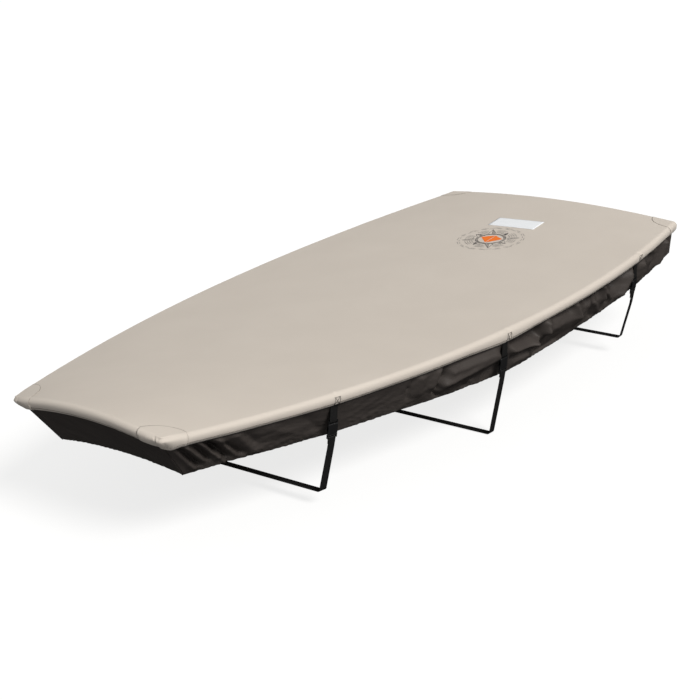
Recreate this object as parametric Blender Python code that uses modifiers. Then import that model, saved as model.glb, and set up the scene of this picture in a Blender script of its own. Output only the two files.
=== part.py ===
"""Fitted deck cover for a small pram dinghy: a taut canvas top whose edge rolls over the gunwale,
a gathered nylon skirt in four panels, corner patches, a name patch and three webbing straps that
pass under the hull and close with side-release buckles. The boat itself is not part of the model.

Metres. +X points aft, +Y to starboard, +Z up. The origin is on the underside of the top panel,
halfway along the boat and on its centreline. Port is the buckle side, at -Y."""

import math

import bmesh
import bpy
from mathutils import Matrix, Vector

# ---------------------------------------------------------------- the boat's lines
LENGTH = 2.3468  # over the rolled edges, bow to stern
# half beam over the rolled edge at the bow, one third, two thirds and the stern
HALF_BEAM = {0.0: 0.3111, 1 / 3: 0.5307, 2 / 3: 0.5875, 1.0: 0.4909}
SHEER_SAG = 0.0253  # how far the gunwale line dips amidships
CROWN = {"bow": 0.0301, "mid": 0.012, "stern": 0.0238}  # rise of the centreline over the edges

# ---------------------------------------------------------------- cloth
TOP_THICKNESS = 0.0015
SKIRT_THICKNESS = 0.0012
PATCH_THICKNESS = 0.0010
LABEL_THICKNESS = 0.0010
SEAM_GAP = 0.0005  # between the layers of a seam
LAID_GAP = 0.0005  # under a piece sewn on top of another
PATCH_GAP = 0.0009  # under a corner patch, which bridges the peak of the corner

ROLL_RADIUS = 0.015  # of the canvas over the rounded gunwale, down to its widest line
ROLL_UNDER = 0.027  # and of the slacker turn below that, in to the skirt's seam
STRAP_PULL = 0.0084  # a strap pulls the seam down by this, and so makes the roll taller
STRAP_PULL_REACH = 0.12
ROLL_ANGLES = (30, 58, 86, 108, 130, 150)  # degrees round the gunwale, from its top
MARGIN_ANGLES = (108, 130, 150)  # the part of the roll that backs the skirt's sewn margin
MARGIN_DEPTH = TOP_THICKNESS + SEAM_GAP  # under the roll's outer face

CORNER_OUTSET = 0.003  # how far the canvas peaks at a corner
CORNER_STEPS = (0.010, 0.032, 0.070)  # mesh columns next to a corner
SEAM_ROUNDING = {"radius": 0.065, "reach": 0.072}  # the seam turns wider round the bow corners
SEAM_DROOP = {"depth": 0.005, "from": 0.018, "reach": 0.026}  # and hangs lower aft of the port one

# Hem of the skirt at places along the boat: its depth under the gunwale's top, and how far
# inside the rolled edge it lies
HEM = (
    {"x": -1.17, "depth": 0.163, "inset": 0.065},
    {"x": -1.02, "depth": 0.150, "inset": 0.057},
    {"x": -0.45, "depth": 0.154, "inset": 0.065},
    {"x": 0.06, "depth": 0.176, "inset": 0.073},
    {"x": 0.50, "depth": 0.156, "inset": 0.069},
    {"x": 1.05, "depth": 0.152, "inset": 0.062},
    {"x": 1.13, "depth": 0.135, "inset": 0.046},
    {"x": 1.17, "depth": 0.105, "inset": 0.015},
)
HEM_SETBACK = {"bow": 0.120, "stern": 0.024}  # the bow panel follows the raked bow
STERN_HOLLOW = 0.016  # the stern panel is drawn in between its corners
HEM_ARCH = 0.55  # share of the crown that the bow and stern hems follow
SKIRT_DEPTHS = (0.05, 0.14, 0.25, 0.37, 0.50, 0.62, 0.74, 0.87, 1.0)
UNDER_ROLL = 0.003  # how far the skirt leaves the roll's edge inwards
SKIRT_DROP = 0.125  # from the roll's edge to the hem, about
CALM_REACH = 0.035  # cloth beside a corner seam has no folds

# Folds of the port skirt, each a soft ridge or trough along a line. x and v are where it starts,
# x_end and v_end where it ends, with v the share of the skirt's drop. Its half width grows from
# wide to wide_end. rise is outwards, and a trough's is negative.
PORT_FOLDS = (
    {"x": -1.098, "v": 0.08, "x_end": -1.083, "v_end": 0.70,
     "wide": 0.009, "wide_end": 0.010, "rise": 0.007},
    {"x": -1.077, "v": 0.00, "x_end": -1.066, "v_end": 0.66,
     "wide": 0.008, "wide_end": 0.013, "rise": -0.012},
    {"x": -1.062, "v": 0.05, "x_end": -1.044, "v_end": 0.75,
     "wide": 0.009, "wide_end": 0.010, "rise": 0.007},
    {"x": -1.046, "v": 0.00, "x_end": -1.030, "v_end": 0.40,
     "wide": 0.009, "wide_end": 0.013, "rise": -0.014},
    {"x": -1.030, "v": 0.40, "x_end": -1.020, "v_end": 0.75,
     "wide": 0.013, "wide_end": 0.011, "rise": -0.013},
    {"x": -1.010, "v": 0.10, "x_end": -0.998, "v_end": 0.80,
     "wide": 0.012, "wide_end": 0.012, "rise": 0.006},
    {"x": -0.994, "v": 0.36, "x_end": -0.978, "v_end": 0.76,
     "wide": 0.010, "wide_end": 0.011, "rise": -0.009},
    {"x": -0.955, "v": 0.15, "x_end": -0.940, "v_end": 0.85,
     "wide": 0.022, "wide_end": 0.022, "rise": 0.004},
    {"x": -0.925, "v": 0.25, "x_end": -0.918, "v_end": 0.55,
     "wide": 0.014, "wide_end": 0.014, "rise": -0.004},
    {"x": -0.850, "v": 0.30, "x_end": -0.800, "v_end": 0.60,
     "wide": 0.030, "wide_end": 0.030, "rise": 0.003},
    {"x": -0.740, "v": 0.20, "x_end": -0.720, "v_end": 0.70,
     "wide": 0.020, "wide_end": 0.020, "rise": -0.003},
    {"x": -0.325, "v": 0.15, "x_end": -0.345, "v_end": 0.60,
     "wide": 0.020, "wide_end": 0.022, "rise": 0.007},
    {"x": -0.245, "v": 0.05, "x_end": -0.290, "v_end": 0.55,
     "wide": 0.016, "wide_end": 0.018, "rise": 0.008},
    {"x": -0.213, "v": 0.00, "x_end": -0.240, "v_end": 0.30,
     "wide": 0.012, "wide_end": 0.010, "rise": -0.016},
    {"x": -0.240, "v": 0.30, "x_end": -0.266, "v_end": 0.62,
     "wide": 0.010, "wide_end": 0.010, "rise": -0.015},
    {"x": -0.266, "v": 0.62, "x_end": -0.279, "v_end": 0.75,
     "wide": 0.010, "wide_end": 0.009, "rise": -0.009},
    {"x": -0.200, "v": 0.32, "x_end": -0.020, "v_end": 0.22,
     "wide": 0.014, "wide_end": 0.016, "rise": 0.007},
    {"x": -0.250, "v": 0.62, "x_end": -0.010, "v_end": 0.36,
     "wide": 0.020, "wide_end": 0.028, "rise": 0.015},
    {"x": -0.185, "v": 0.05, "x_end": -0.030, "v_end": 0.03,
     "wide": 0.010, "wide_end": 0.012, "rise": -0.008},
    {"x": -0.112, "v": 0.80, "x_end": -0.095, "v_end": 0.80,
     "wide": 0.011, "wide_end": 0.012, "rise": -0.007},
    {"x": -0.150, "v": 0.92, "x_end": -0.125, "v_end": 0.97,
     "wide": 0.010, "wide_end": 0.010, "rise": -0.008},
    {"x": -0.060, "v": 0.80, "x_end": -0.012, "v_end": 0.62,
     "wide": 0.014, "wide_end": 0.016, "rise": -0.009},
    {"x": 0.072, "v": 0.12, "x_end": 0.205, "v_end": 0.30,
     "wide": 0.012, "wide_end": 0.026, "rise": -0.018},
    {"x": 0.216, "v": 0.05, "x_end": 0.222, "v_end": 0.40,
     "wide": 0.010, "wide_end": 0.010, "rise": -0.008},
    {"x": 0.078, "v": 0.42, "x_end": 0.190, "v_end": 0.56,
     "wide": 0.014, "wide_end": 0.016, "rise": 0.012},
    {"x": 0.190, "v": 0.56, "x_end": 0.240, "v_end": 0.36,
     "wide": 0.016, "wide_end": 0.014, "rise": 0.012},
    {"x": 0.240, "v": 0.36, "x_end": 0.262, "v_end": 0.00,
     "wide": 0.014, "wide_end": 0.012, "rise": 0.014},
    {"x": 0.078, "v": 0.62, "x_end": 0.190, "v_end": 0.72,
     "wide": 0.010, "wide_end": 0.010, "rise": -0.008},
    {"x": 0.100, "v": 0.84, "x_end": 0.200, "v_end": 0.86,
     "wide": 0.012, "wide_end": 0.012, "rise": 0.004},
    {"x": 0.210, "v": 0.90, "x_end": 0.330, "v_end": 0.88,
     "wide": 0.014, "wide_end": 0.014, "rise": -0.006},
    {"x": 0.305, "v": 0.04, "x_end": 0.400, "v_end": 0.14,
     "wide": 0.014, "wide_end": 0.024, "rise": -0.014},
    {"x": 0.290, "v": 0.42, "x_end": 0.430, "v_end": 0.50,
     "wide": 0.030, "wide_end": 0.034, "rise": 0.009},
    {"x": 0.425, "v": 0.00, "x_end": 0.440, "v_end": 0.60,
     "wide": 0.014, "wide_end": 0.018, "rise": 0.010},
    {"x": 0.460, "v": 0.05, "x_end": 0.515, "v_end": 0.22,
     "wide": 0.014, "wide_end": 0.024, "rise": -0.016},
    {"x": 0.527, "v": 0.00, "x_end": 0.522, "v_end": 0.45,
     "wide": 0.011, "wide_end": 0.013, "rise": 0.010},
    {"x": 0.535, "v": 0.50, "x_end": 0.552, "v_end": 0.85,
     "wide": 0.009, "wide_end": 0.010, "rise": -0.008},
    {"x": 0.548, "v": 0.05, "x_end": 0.590, "v_end": 0.22,
     "wide": 0.012, "wide_end": 0.020, "rise": -0.014},
    {"x": 0.607, "v": 0.00, "x_end": 0.618, "v_end": 0.50,
     "wide": 0.011, "wide_end": 0.014, "rise": 0.011},
    {"x": 0.650, "v": 0.45, "x_end": 0.690, "v_end": 0.72,
     "wide": 0.010, "wide_end": 0.010, "rise": 0.006},
    {"x": 0.640, "v": 0.05, "x_end": 0.720, "v_end": 0.35,
     "wide": 0.014, "wide_end": 0.030, "rise": -0.018},
    {"x": 0.720, "v": 0.25, "x_end": 0.785, "v_end": 0.08,
     "wide": 0.022, "wide_end": 0.014, "rise": -0.014},
    {"x": 0.755, "v": 0.80, "x_end": 0.813, "v_end": 0.15,
     "wide": 0.016, "wide_end": 0.014, "rise": 0.015},
    {"x": 0.880, "v": 0.05, "x_end": 0.960, "v_end": 0.06,
     "wide": 0.014, "wide_end": 0.014, "rise": -0.008},
    {"x": 0.897, "v": 0.25, "x_end": 0.905, "v_end": 0.70,
     "wide": 0.024, "wide_end": 0.026, "rise": 0.010},
    {"x": 0.985, "v": 0.30, "x_end": 0.955, "v_end": 0.85,
     "wide": 0.014, "wide_end": 0.014, "rise": -0.009},
    {"x": 1.010, "v": 0.10, "x_end": 1.000, "v_end": 0.45,
     "wide": 0.020, "wide_end": 0.020, "rise": 0.004},
    {"x": 1.045, "v": 0.10, "x_end": 1.030, "v_end": 0.60,
     "wide": 0.012, "wide_end": 0.012, "rise": -0.005},
    {"x": 1.095, "v": 0.10, "x_end": 1.072, "v_end": 0.78,
     "wide": 0.012, "wide_end": 0.013, "rise": 0.011},
    {"x": 1.122, "v": 0.38, "x_end": 1.118, "v_end": 0.55,
     "wide": 0.012, "wide_end": 0.012, "rise": -0.009},
)
STARBOARD_SHIFT = 0.021  # the starboard folds are the port ones slid along, and softer
STARBOARD_SOFTNESS = 0.8
PUCKER = {"pitch": 0.036, "rise": 0.0025, "from_v": 0.60}  # gathers of the elastic hem
BOW_PUCKER = 0.0025  # they are deeper towards the bow
BOW_PUCKER_REACH = 0.30
FREE_REACH = 0.030  # a strap holds the folds flat over this much cloth beside it

# ---------------------------------------------------------------- straps and buckles
# Where each strap leaves the roll, bears on the hull below its buckle, and turns at the chine
STRAPS = (
    {"x": -0.641, "bear_half": 0.433, "bear_depth": 0.187, "chine_half": 0.385, "chine_depth": 0.336},
    {"x": 0.040, "bear_half": 0.541, "bear_depth": 0.200, "chine_half": 0.490, "chine_depth": 0.383},
    {"x": 0.836, "bear_half": 0.508, "bear_depth": 0.190, "chine_half": 0.462, "chine_depth": 0.322},
)
WEB_WIDTH = 0.025
WEB_THICKNESS = 0.0015
WEB_TUCK = WEB_THICKNESS + SEAM_GAP  # the skirt's margin gives way behind the webbing
LOOP_RADIUS = 0.0031  # the webbing's middle round a buckle's bar
CHINE_RADIUS = 0.008
BUCKLE_DROP = 0.093  # depth of the upper bar under the gunwale's top

BUCKLE = {
    "width": 0.034,
    "bar": 0.0034,  # both bars, square
    "bar_spacing": 0.0515,
    "ear": 0.0034,  # side rails that carry a bar
    "ear_depth": 0.0050,
    "socket_start": 0.0062,
    "socket_length": 0.0345,
    "socket_depth": 0.0095,
    "plug_start": 0.0415,
    "plug_length": 0.0036,
    "plug_depth": 0.0080,
    "pocket_width": 0.0276,
    "pocket_depth": 0.0052,
    "arm": 0.0036,
}

# ---------------------------------------------------------------- patches
PATCH_REACH = {  # of each corner patch, along the side and across the end
    "bow_port": (0.067, 0.080),
    "bow_starboard": (0.102, 0.074),
    "stern_port": (0.057, 0.077),
    "stern_starboard": (0.057, 0.077),
}
LABEL = {"x": 0.875, "y": -0.015, "width": 0.182, "height": 0.083, "turn": 6.5}

COLOURS = {
    "canvas": (0.585, 0.545, 0.485, 1.0),
    "nylon": (0.030, 0.029, 0.030, 1.0),
    "webbing": (0.012, 0.012, 0.012, 1.0),
    "plastic": (0.015, 0.015, 0.015, 1.0),
    "label": (0.80, 0.83, 0.87, 1.0),
}

FLAT_HALF_LENGTH = LENGTH / 2 - ROLL_RADIUS
MID_CROWN = CROWN["bow"] / 4 + CROWN["stern"] / 4 + CROWN["mid"] / 2


# ---------------------------------------------------------------- helpers
def clear_scene():
    for item in list(bpy.data.objects):
        bpy.data.objects.remove(item)


def make_material(name, colour, roughness):
    material = bpy.data.materials.new(name)
    material.use_nodes = True
    shader = material.node_tree.nodes["Principled BSDF"]
    shader.inputs["Base Color"].default_value = colour
    shader.inputs["Roughness"].default_value = roughness
    shader.inputs["Metallic"].default_value = 0.0
    return material


def smoothstep(value):
    t = min(1.0, max(0.0, value))
    return t * t * (3 - 2 * t)


def mix(a, b, t):
    return a + (b - a) * t


def from_table(rows, x, key):
    """Value of key at x, eased between the rows of a table."""
    if x <= rows[0]["x"]:
        return rows[0][key]
    for near, far in zip(rows, rows[1:]):
        if x <= far["x"]:
            return mix(near[key], far[key], smoothstep((x - near["x"]) / (far["x"] - near["x"])))
    return rows[-1][key]


def chorded(stations, function):
    """The function joined by straight lines between its stations, as the faceted top has it.
    Every layer reads these lines, so that layers stay parallel."""
    values = [function(s) for s in stations]

    def read(x):
        for k in range(1, len(stations)):
            if x <= stations[k] or k == len(stations) - 1:
                share = (x - stations[k - 1]) / (stations[k] - stations[k - 1])
                return mix(values[k - 1], values[k], share)

    return read


def spread(stops, longest):
    """Fills the stretches between stops with even steps, none over longest."""
    filled = [stops[0]]
    for near, far in zip(stops, stops[1:]):
        count = math.ceil((far - near) / longest - 1e-6)
        filled += [mix(near, far, (i + 1) / count) for i in range(count)]
    return filled


# ---------------------------------------------------------------- lines of the top
def half_beam(x):
    """Half beam over the roll: the cubic through the four stations."""
    share = x / LENGTH + 0.5
    total = 0.0
    for station, value in HALF_BEAM.items():
        weight = 1.0
        for other in HALF_BEAM:
            if other != station:
                weight *= (share - other) / (station - other)
        total += value * weight
    return total


def sheer(x):
    sag = SHEER_SAG * (2 * x / LENGTH) ** 2
    return sag - MID_CROWN + TOP_THICKNESS


def crown_rise(x):
    share = x / LENGTH + 0.5
    middle = CROWN["mid"] * 2 * share * (1 - share)
    return CROWN["bow"] * (1 - share) ** 2 + CROWN["stern"] * share**2 + middle


def strap_pull(x):
    nearest = min(abs(x - strap["x"]) for strap in STRAPS)
    return STRAP_PULL * math.exp(-((nearest / STRAP_PULL_REACH) ** 2))


def roll_section(degrees):
    """How far out and how far down the canvas is, this many degrees round the gunwale."""
    angle = math.radians(degrees)
    if degrees <= 90:
        return ROLL_RADIUS * math.sin(angle), ROLL_RADIUS * (1 - math.cos(angle))
    return ROLL_RADIUS - ROLL_UNDER * (1 - math.sin(angle)), ROLL_RADIUS - ROLL_UNDER * math.cos(angle)


CORNER_ALONG = [-FLAT_HALF_LENGTH + d for d in (0.0, *CORNER_STEPS)]
BESIDE_STRAPS = [strap["x"] + side * 0.055 for strap in STRAPS for side in (-1, 1)]
ALONG = spread(CORNER_ALONG + BESIDE_STRAPS + [-x for x in reversed(CORNER_ALONG)], 0.135)
BOW_FLAT_HALF = half_beam(-FLAT_HALF_LENGTH) - ROLL_RADIUS
CORNER_ACROSS = [-1 + d / BOW_FLAT_HALF for d in (0.0, *CORNER_STEPS)]
ACROSS = spread(CORNER_ACROSS + [-a for a in reversed(CORNER_ACROSS)], 0.26)

flat_half = chorded(ALONG, lambda x: half_beam(x) - ROLL_RADIUS)
gunwale_height = chorded(ALONG, sheer)
crown_at = chorded(ALONG, crown_rise)
pull_at = chorded(ALONG, strap_pull)
arch_at = chorded(ACROSS, lambda a: 1 - a * a)


def top_height(x, across):
    """Height of the top's outer face. across runs from -1 at port to 1 at starboard."""
    return gunwale_height(x) + crown_at(x) * arch_at(across)


def hem_place(x, across):
    """Where the thread of cloth from this place of the edge meets the hem."""
    share = (x + FLAT_HALF_LENGTH) / (2 * FLAT_HALF_LENGTH)
    half = flat_half(x) + ROLL_RADIUS - from_table(HEM, x, "inset")
    arch = arch_at(across)
    stern_setback = HEM_SETBACK["stern"] + STERN_HOLLOW * arch
    hem_x = mix(-LENGTH / 2 + HEM_SETBACK["bow"], LENGTH / 2 - stern_setback, share)
    height = gunwale_height(x) + HEM_ARCH * crown_at(x) * arch - from_table(HEM, x, "depth")
    return Vector((hem_x, half * across, height))


# ---------------------------------------------------------------- stations round the edge
def corner_point(x, across):
    """A corner of the flat top, where the canvas peaks a little."""
    peak = Vector((math.copysign(CORNER_OUTSET, x), math.copysign(CORNER_OUTSET, across)))
    return Vector((x, across * flat_half(x))) + peak


def normal_between(before, place, after):
    steps = [b - a for a, b in ((before, place), (place, after)) if a is not None and b is not None]
    normals = [Vector((step.y, -step.x)).normalized() for step in steps]
    return sum(normals, Vector((0, 0))).normalized()


def edge_loop(along, across):
    """Stations round the flat top, from the port bow corner aft and round: each has the side it
    is on, its place, x and across in the top's grid, height and outward normal in plan."""
    first, last = along[0], along[-1]
    spots = [("corner", first, -1)]
    spots += [("port", x, -1) for x in along[1:-1]]
    spots += [("corner", last, -1)]
    spots += [("stern", last, a) for a in across[1:-1]]
    spots += [("corner", last, 1)]
    spots += [("starboard", x, 1) for x in reversed(along[1:-1])]
    spots += [("corner", first, 1)]
    spots += [("bow", first, a) for a in reversed(across[1:-1])]
    places = [corner_point(x, a) if s == "corner" else Vector((x, a * flat_half(x))) for s, x, a in spots]
    loop = []
    for i, (side, x, a) in enumerate(spots):
        normal = normal_between(places[i - 1], places[i], places[(i + 1) % len(places)])
        loop.append({"side": side, "place": places[i], "x": x, "across": a, "normal": normal, **levels(x, a)})
    return loop


def seam_shift(x, across):
    """How far the seam is drawn in and down beside a bow corner, as the canvas turns round it."""
    along = x + FLAT_HALF_LENGTH
    beside = (1 - abs(across)) * BOW_FLAT_HALF
    away = max(along, beside)
    if away >= SEAM_ROUNDING["reach"]:
        return Vector((0, 0, 0))
    turn = math.radians(45 * (1 - away / SEAM_ROUNDING["reach"]))
    onward = SEAM_ROUNDING["radius"] * (1 - math.sin(turn)) - away
    inward = SEAM_ROUNDING["radius"] * (1 - math.cos(turn))
    in_x, in_y = (onward, inward) if along > beside else (inward, onward)
    if along == beside:
        in_x = in_y = inward
    near = math.exp(-(((along - SEAM_DROOP["from"]) / SEAM_DROOP["reach"]) ** 2))
    near *= 1 - smoothstep(beside / 0.012)
    droop = SEAM_DROOP["depth"] * near if across < 0 else 0.0
    return Vector((in_x, -math.copysign(in_y, across), -droop))


port_shift = chorded(ALONG, lambda x: seam_shift(x, -1))
starboard_shift = chorded(ALONG, lambda x: seam_shift(x, 1))
bow_shift = chorded(ACROSS, lambda a: seam_shift(-FLAT_HALF_LENGTH, a))


def shift_at(x, across):
    """The same as the faceted canvas has it at a place of its edge."""
    if x < -FLAT_HALF_LENGTH + 1e-6:
        return bow_shift(across)
    return port_shift(x) if across < 0 else starboard_shift(x)


def levels(x, across):
    """Height of the edge at a place of it, and how the roll leans and stretches down from there."""
    return {
        "height": top_height(x, across),
        "stretch": 1 + pull_at(x) / roll_section(150)[1],
        "shift": shift_at(x, across),
    }


def outwards(stop, distance, height=0.0):
    return Vector((*(stop["normal"] * distance), height))


def roll_point(stop, degrees, inside):
    """A point on the roll: degrees round from its top, this far inside its outer face."""
    angle = math.radians(degrees)
    out, down = roll_section(degrees)
    height = stop["height"] - down * stop["stretch"] - inside * math.cos(angle)
    point = Vector((*stop["place"], height)) + outwards(stop, out - inside * math.sin(angle))
    return point + stop["shift"] * smoothstep((degrees - 15) / 115)


# ---------------------------------------------------------------- meshes
def add_grid(mesh, columns, rows, point):
    """Adds a grid to the mesh whose crossing (i, j) lies at point(i, j)."""
    made = bmesh.ops.create_grid(mesh, x_segments=columns, y_segments=rows, size=0.5)
    for vertex in made["verts"]:
        i = round((vertex.co.x + 0.5) * columns)
        j = round((vertex.co.y + 0.5) * rows)
        vertex.co = point(i, j)


def add_sheet(name, mesh, facing, thickness, offset, material, collection):
    """Turns an open mesh into a sheet. It grows outwards with offset 1 and inwards with -1;
    facing is a direction that its outer side looks in."""
    bmesh.ops.remove_doubles(mesh, verts=mesh.verts, dist=1e-5)
    bmesh.ops.recalc_face_normals(mesh, faces=mesh.faces)
    if sum(face.normal.dot(facing) * face.calc_area() for face in mesh.faces) < 0:
        bmesh.ops.reverse_faces(mesh, faces=mesh.faces)
    data = bpy.data.meshes.new(name)
    mesh.to_mesh(data)
    mesh.free()
    data.shade_smooth()
    data.materials.append(material)
    item = bpy.data.objects.new(name, data)
    collection.objects.link(item)
    solidify = item.modifiers.new("thickness", "SOLIDIFY")
    solidify.thickness = thickness
    solidify.offset = offset
    solidify.use_quality_normals = True


UP = Vector((0, 0, 1))


# ---------------------------------------------------------------- canvas top
def build_top(material, collection):
    loop = edge_loop(ALONG, ACROSS)
    last_i, last_j = len(ALONG) - 1, len(ACROSS) - 1

    def flat_point(i, j):
        x, across = ALONG[i], ACROSS[j]
        at_corner = i in (0, last_i) and j in (0, last_j)
        place = corner_point(x, across) if at_corner else Vector((x, across * flat_half(x)))
        return Vector((*place, top_height(x, across)))

    def rolled_point(i, j):
        return roll_point(loop[i % len(loop)], (0, *ROLL_ANGLES)[j], 0.0)

    mesh = bmesh.new()
    add_grid(mesh, last_i, last_j, flat_point)
    add_grid(mesh, len(loop), len(ROLL_ANGLES), rolled_point)
    add_sheet("top_panel", mesh, UP, TOP_THICKNESS, -1, material, collection)


# ---------------------------------------------------------------- corner patches
def build_patch(name, lengthwise, sideways, material, collection):
    """A second layer over one corner of the top, quarter round, carried down over the roll. Its
    shares of the reach are the mesh columns of the top under it, and its rim."""
    along, across_reach = PATCH_REACH[name.removeprefix("corner_patch_")]
    widening = flat_half(lengthwise * FLAT_HALF_LENGTH) / BOW_FLAT_HALF
    shares_x = (0.0, *(step / along for step in CORNER_STEPS if step < 0.9 * along), 1.0)
    inner_y = [step * widening / across_reach for step in CORNER_STEPS]
    shares_y = (0.0, *(share for share in inner_y if share < 0.9), 1.0)
    last_i, last_j = len(shares_x) - 1, len(shares_y) - 1

    def stop_at(i, j):
        u, v = shares_x[i], shares_y[j]
        in_x = along * u * math.sqrt(1 - v * v / 2)
        in_y = across_reach * v * math.sqrt(1 - u * u / 2)
        x = lengthwise * (FLAT_HALF_LENGTH - in_x)
        across = sideways * (1 - in_y / flat_half(x))
        at_corner = i == 0 and j == 0
        place = corner_point(x, across) if at_corner else Vector((x, across * flat_half(x)))
        return {"place": place, **levels(x, across)}

    edge = [stop_at(i, 0) for i in range(last_i, -1, -1)]
    edge += [stop_at(0, j) for j in range(1, last_j + 1)]
    places = [None] + [stop["place"] for stop in edge] + [None]
    corner = Vector((lengthwise, sideways))
    for stop, before, place, after in zip(edge, places, places[1:], places[2:]):
        normal = normal_between(before, place, after)
        stop["normal"] = normal if normal.dot(corner) > 0 else -normal
    if lengthwise == sideways:
        edge.reverse()  # so that its facets fold the same way as the top's

    def flat_point(i, j):
        stop = stop_at(i, j)
        return Vector((*stop["place"], stop["height"] + PATCH_GAP))

    def rolled_point(k, j):
        return roll_point(edge[k], (0, *ROLL_ANGLES)[j], -PATCH_GAP)

    mesh = bmesh.new()
    add_grid(mesh, last_i, last_j, flat_point)
    add_grid(mesh, len(edge) - 1, len(ROLL_ANGLES) - 1, rolled_point)
    add_sheet(name, mesh, UP, PATCH_THICKNESS, 1, material, collection)


# ---------------------------------------------------------------- skirt
def strap_nearness(x, reach):
    """1 under a strap's webbing, falling to 0 over reach beside it."""
    beside = min(abs(x - strap["x"]) for strap in STRAPS) - WEB_WIDTH / 2 - 0.0025
    return 1 - smoothstep(beside / reach)


def calm_corner(x):
    """0 at the corner seams, rising to 1 away from them."""
    return smoothstep((FLAT_HALF_LENGTH - CORNER_STEPS[0] - abs(x)) / CALM_REACH)


def fold_rise(x, v):
    """All the folds together, at this place of the cloth."""
    spot = Vector((x, v * SKIRT_DROP))
    total = 0.0
    for fold in PORT_FOLDS:
        start = Vector((fold["x"], fold["v"] * SKIRT_DROP))
        end = Vector((fold["x_end"], fold["v_end"] * SKIRT_DROP))
        run = end - start
        share = min(1.0, max(0.0, (spot - start).dot(run) / run.length_squared))
        width = mix(fold["wide"], fold["wide_end"], share)
        total += fold["rise"] * math.exp(-(((spot - start - run * share).length / width) ** 2))
    return total * (1 - smoothstep((v - 0.9) / 0.1)) * smoothstep((v - 0.02) / 0.14)


def pucker_rise(along, v, rise):
    """Gathers that the elastic pulls into the last part of the skirt."""
    fade = smoothstep((v - PUCKER["from_v"]) / (1 - PUCKER["from_v"]))
    phase = 2 * math.pi * (along / PUCKER["pitch"] + 0.35 * math.sin(7.3 * along))
    return rise * fade * math.sin(phase)


def side_rise(x, v, softness, shift):
    free = softness * (1 - strap_nearness(x, FREE_REACH))
    from_bow = (x + FLAT_HALF_LENGTH) / BOW_PUCKER_REACH
    pucker = PUCKER["rise"] + BOW_PUCKER * (1 - smoothstep(from_bow))
    return calm_corner(x) * (free * fold_rise(x - shift, v) + pucker_rise(x - shift, v, pucker))


def port_rise(stop, v):
    return side_rise(stop["x"], v, 1.0, 0.0)


def starboard_rise(stop, v):
    return side_rise(stop["x"], v, STARBOARD_SOFTNESS, STARBOARD_SHIFT)


def end_rise(stop, v):
    calm = smoothstep((1 - abs(stop["across"])) / 0.15)
    return calm * pucker_rise(stop["place"].y, v, PUCKER["rise"] / 2)


def build_skirt_panel(name, stops, depths, rise_at, material, collection):
    """One panel over these stations of the edge: its margin inside the roll, then its drop."""
    angles = len(MARGIN_ANGLES)
    facing = stops[len(stops) // 2]["normal"].to_3d()

    def point(i, j):
        stop = stops[i]
        beside_strap = stop["side"] in ("port", "starboard")
        tuck = WEB_TUCK * strap_nearness(stop["x"], 0.012) if beside_strap else 0.0
        inside = stop.get("inside", 0.0)
        if j < angles:
            return roll_point(stop, MARGIN_ANGLES[j], MARGIN_DEPTH + tuck + inside)
        v = depths[j - angles]
        start = roll_point(stop, MARGIN_ANGLES[-1], MARGIN_DEPTH + tuck) - outwards(stop, UNDER_ROLL)
        end = hem_place(stop["x"], stop["across"])
        lapped = Vector((0, -math.copysign(inside, stop["across"]), 0))
        return start.lerp(end, v) + outwards(stop, rise_at(stop, v)) + lapped

    mesh = bmesh.new()
    add_grid(mesh, len(stops) - 1, angles + len(depths) - 1, point)
    add_sheet(name, mesh, facing, SKIRT_THICKNESS, -1, material, collection)


def side_stations(fold_step, plain_step):
    """Stations of a side skirt, closer together where its folds are and beside a strap."""
    beside = WEB_WIDTH / 2 + 0.0035
    stops = {*CORNER_ALONG, -CORNER_ALONG[1], FLAT_HALF_LENGTH}
    for strap in STRAPS:
        stops.update(strap["x"] + offset for offset in (-beside - 0.013, -beside, beside, beside + 0.013))
    coarse = spread(sorted(stops), plain_step)
    fine = []
    spans = [sorted((fold["x"], fold["x_end"])) for fold in PORT_FOLDS]
    for near, far in zip(coarse, coarse[1:]):
        middle = (near + far) / 2
        folded = any(start - 0.02 < middle < end + 0.02 for start, end in spans)
        count = max(1, round((far - near) / fold_step)) if folded else 1
        fine += [mix(near, far, i / count) for i in range(count)]
    return fine + [coarse[-1]]


def build_skirt(material, collection):
    """The side panels end at the corners; the bow and stern panels lap inside them there."""
    end_across = spread(CORNER_ACROSS + [-a for a in reversed(CORNER_ACROSS)], 0.12)
    plans = (
        {"name": "skirt_port", "side": "port", "steps": (0.018, 0.036), "rise": port_rise},
        {"name": "skirt_starboard", "side": "starboard", "steps": (0.026, 0.045), "rise": starboard_rise},
        {"name": "skirt_bow", "side": "bow", "steps": (0.03, 0.05), "rise": end_rise},
        {"name": "skirt_stern", "side": "stern", "steps": (0.03, 0.05), "rise": end_rise},
    )
    for plan in plans:
        loop = edge_loop(side_stations(*plan["steps"]), end_across)
        run = [i for i, stop in enumerate(loop) if stop["side"] == plan["side"]]
        lap = 2 if plan["side"] in ("bow", "stern") else 1
        stops = [dict(loop[i % len(loop)]) for i in range(run[0] - lap, run[-1] + lap + 1)]
        if lap == 2:
            for stop in (*stops[:2], *stops[-2:]):
                bend = 2.3 if stop["side"] == "corner" else 1.9
                stop["inside"] = bend * (SKIRT_THICKNESS + SEAM_GAP)
        depths = SKIRT_DEPTHS if plan["side"] == "port" else SKIRT_DEPTHS[::2]
        build_skirt_panel(plan["name"], stops, depths, plan["rise"], material, collection)


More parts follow.
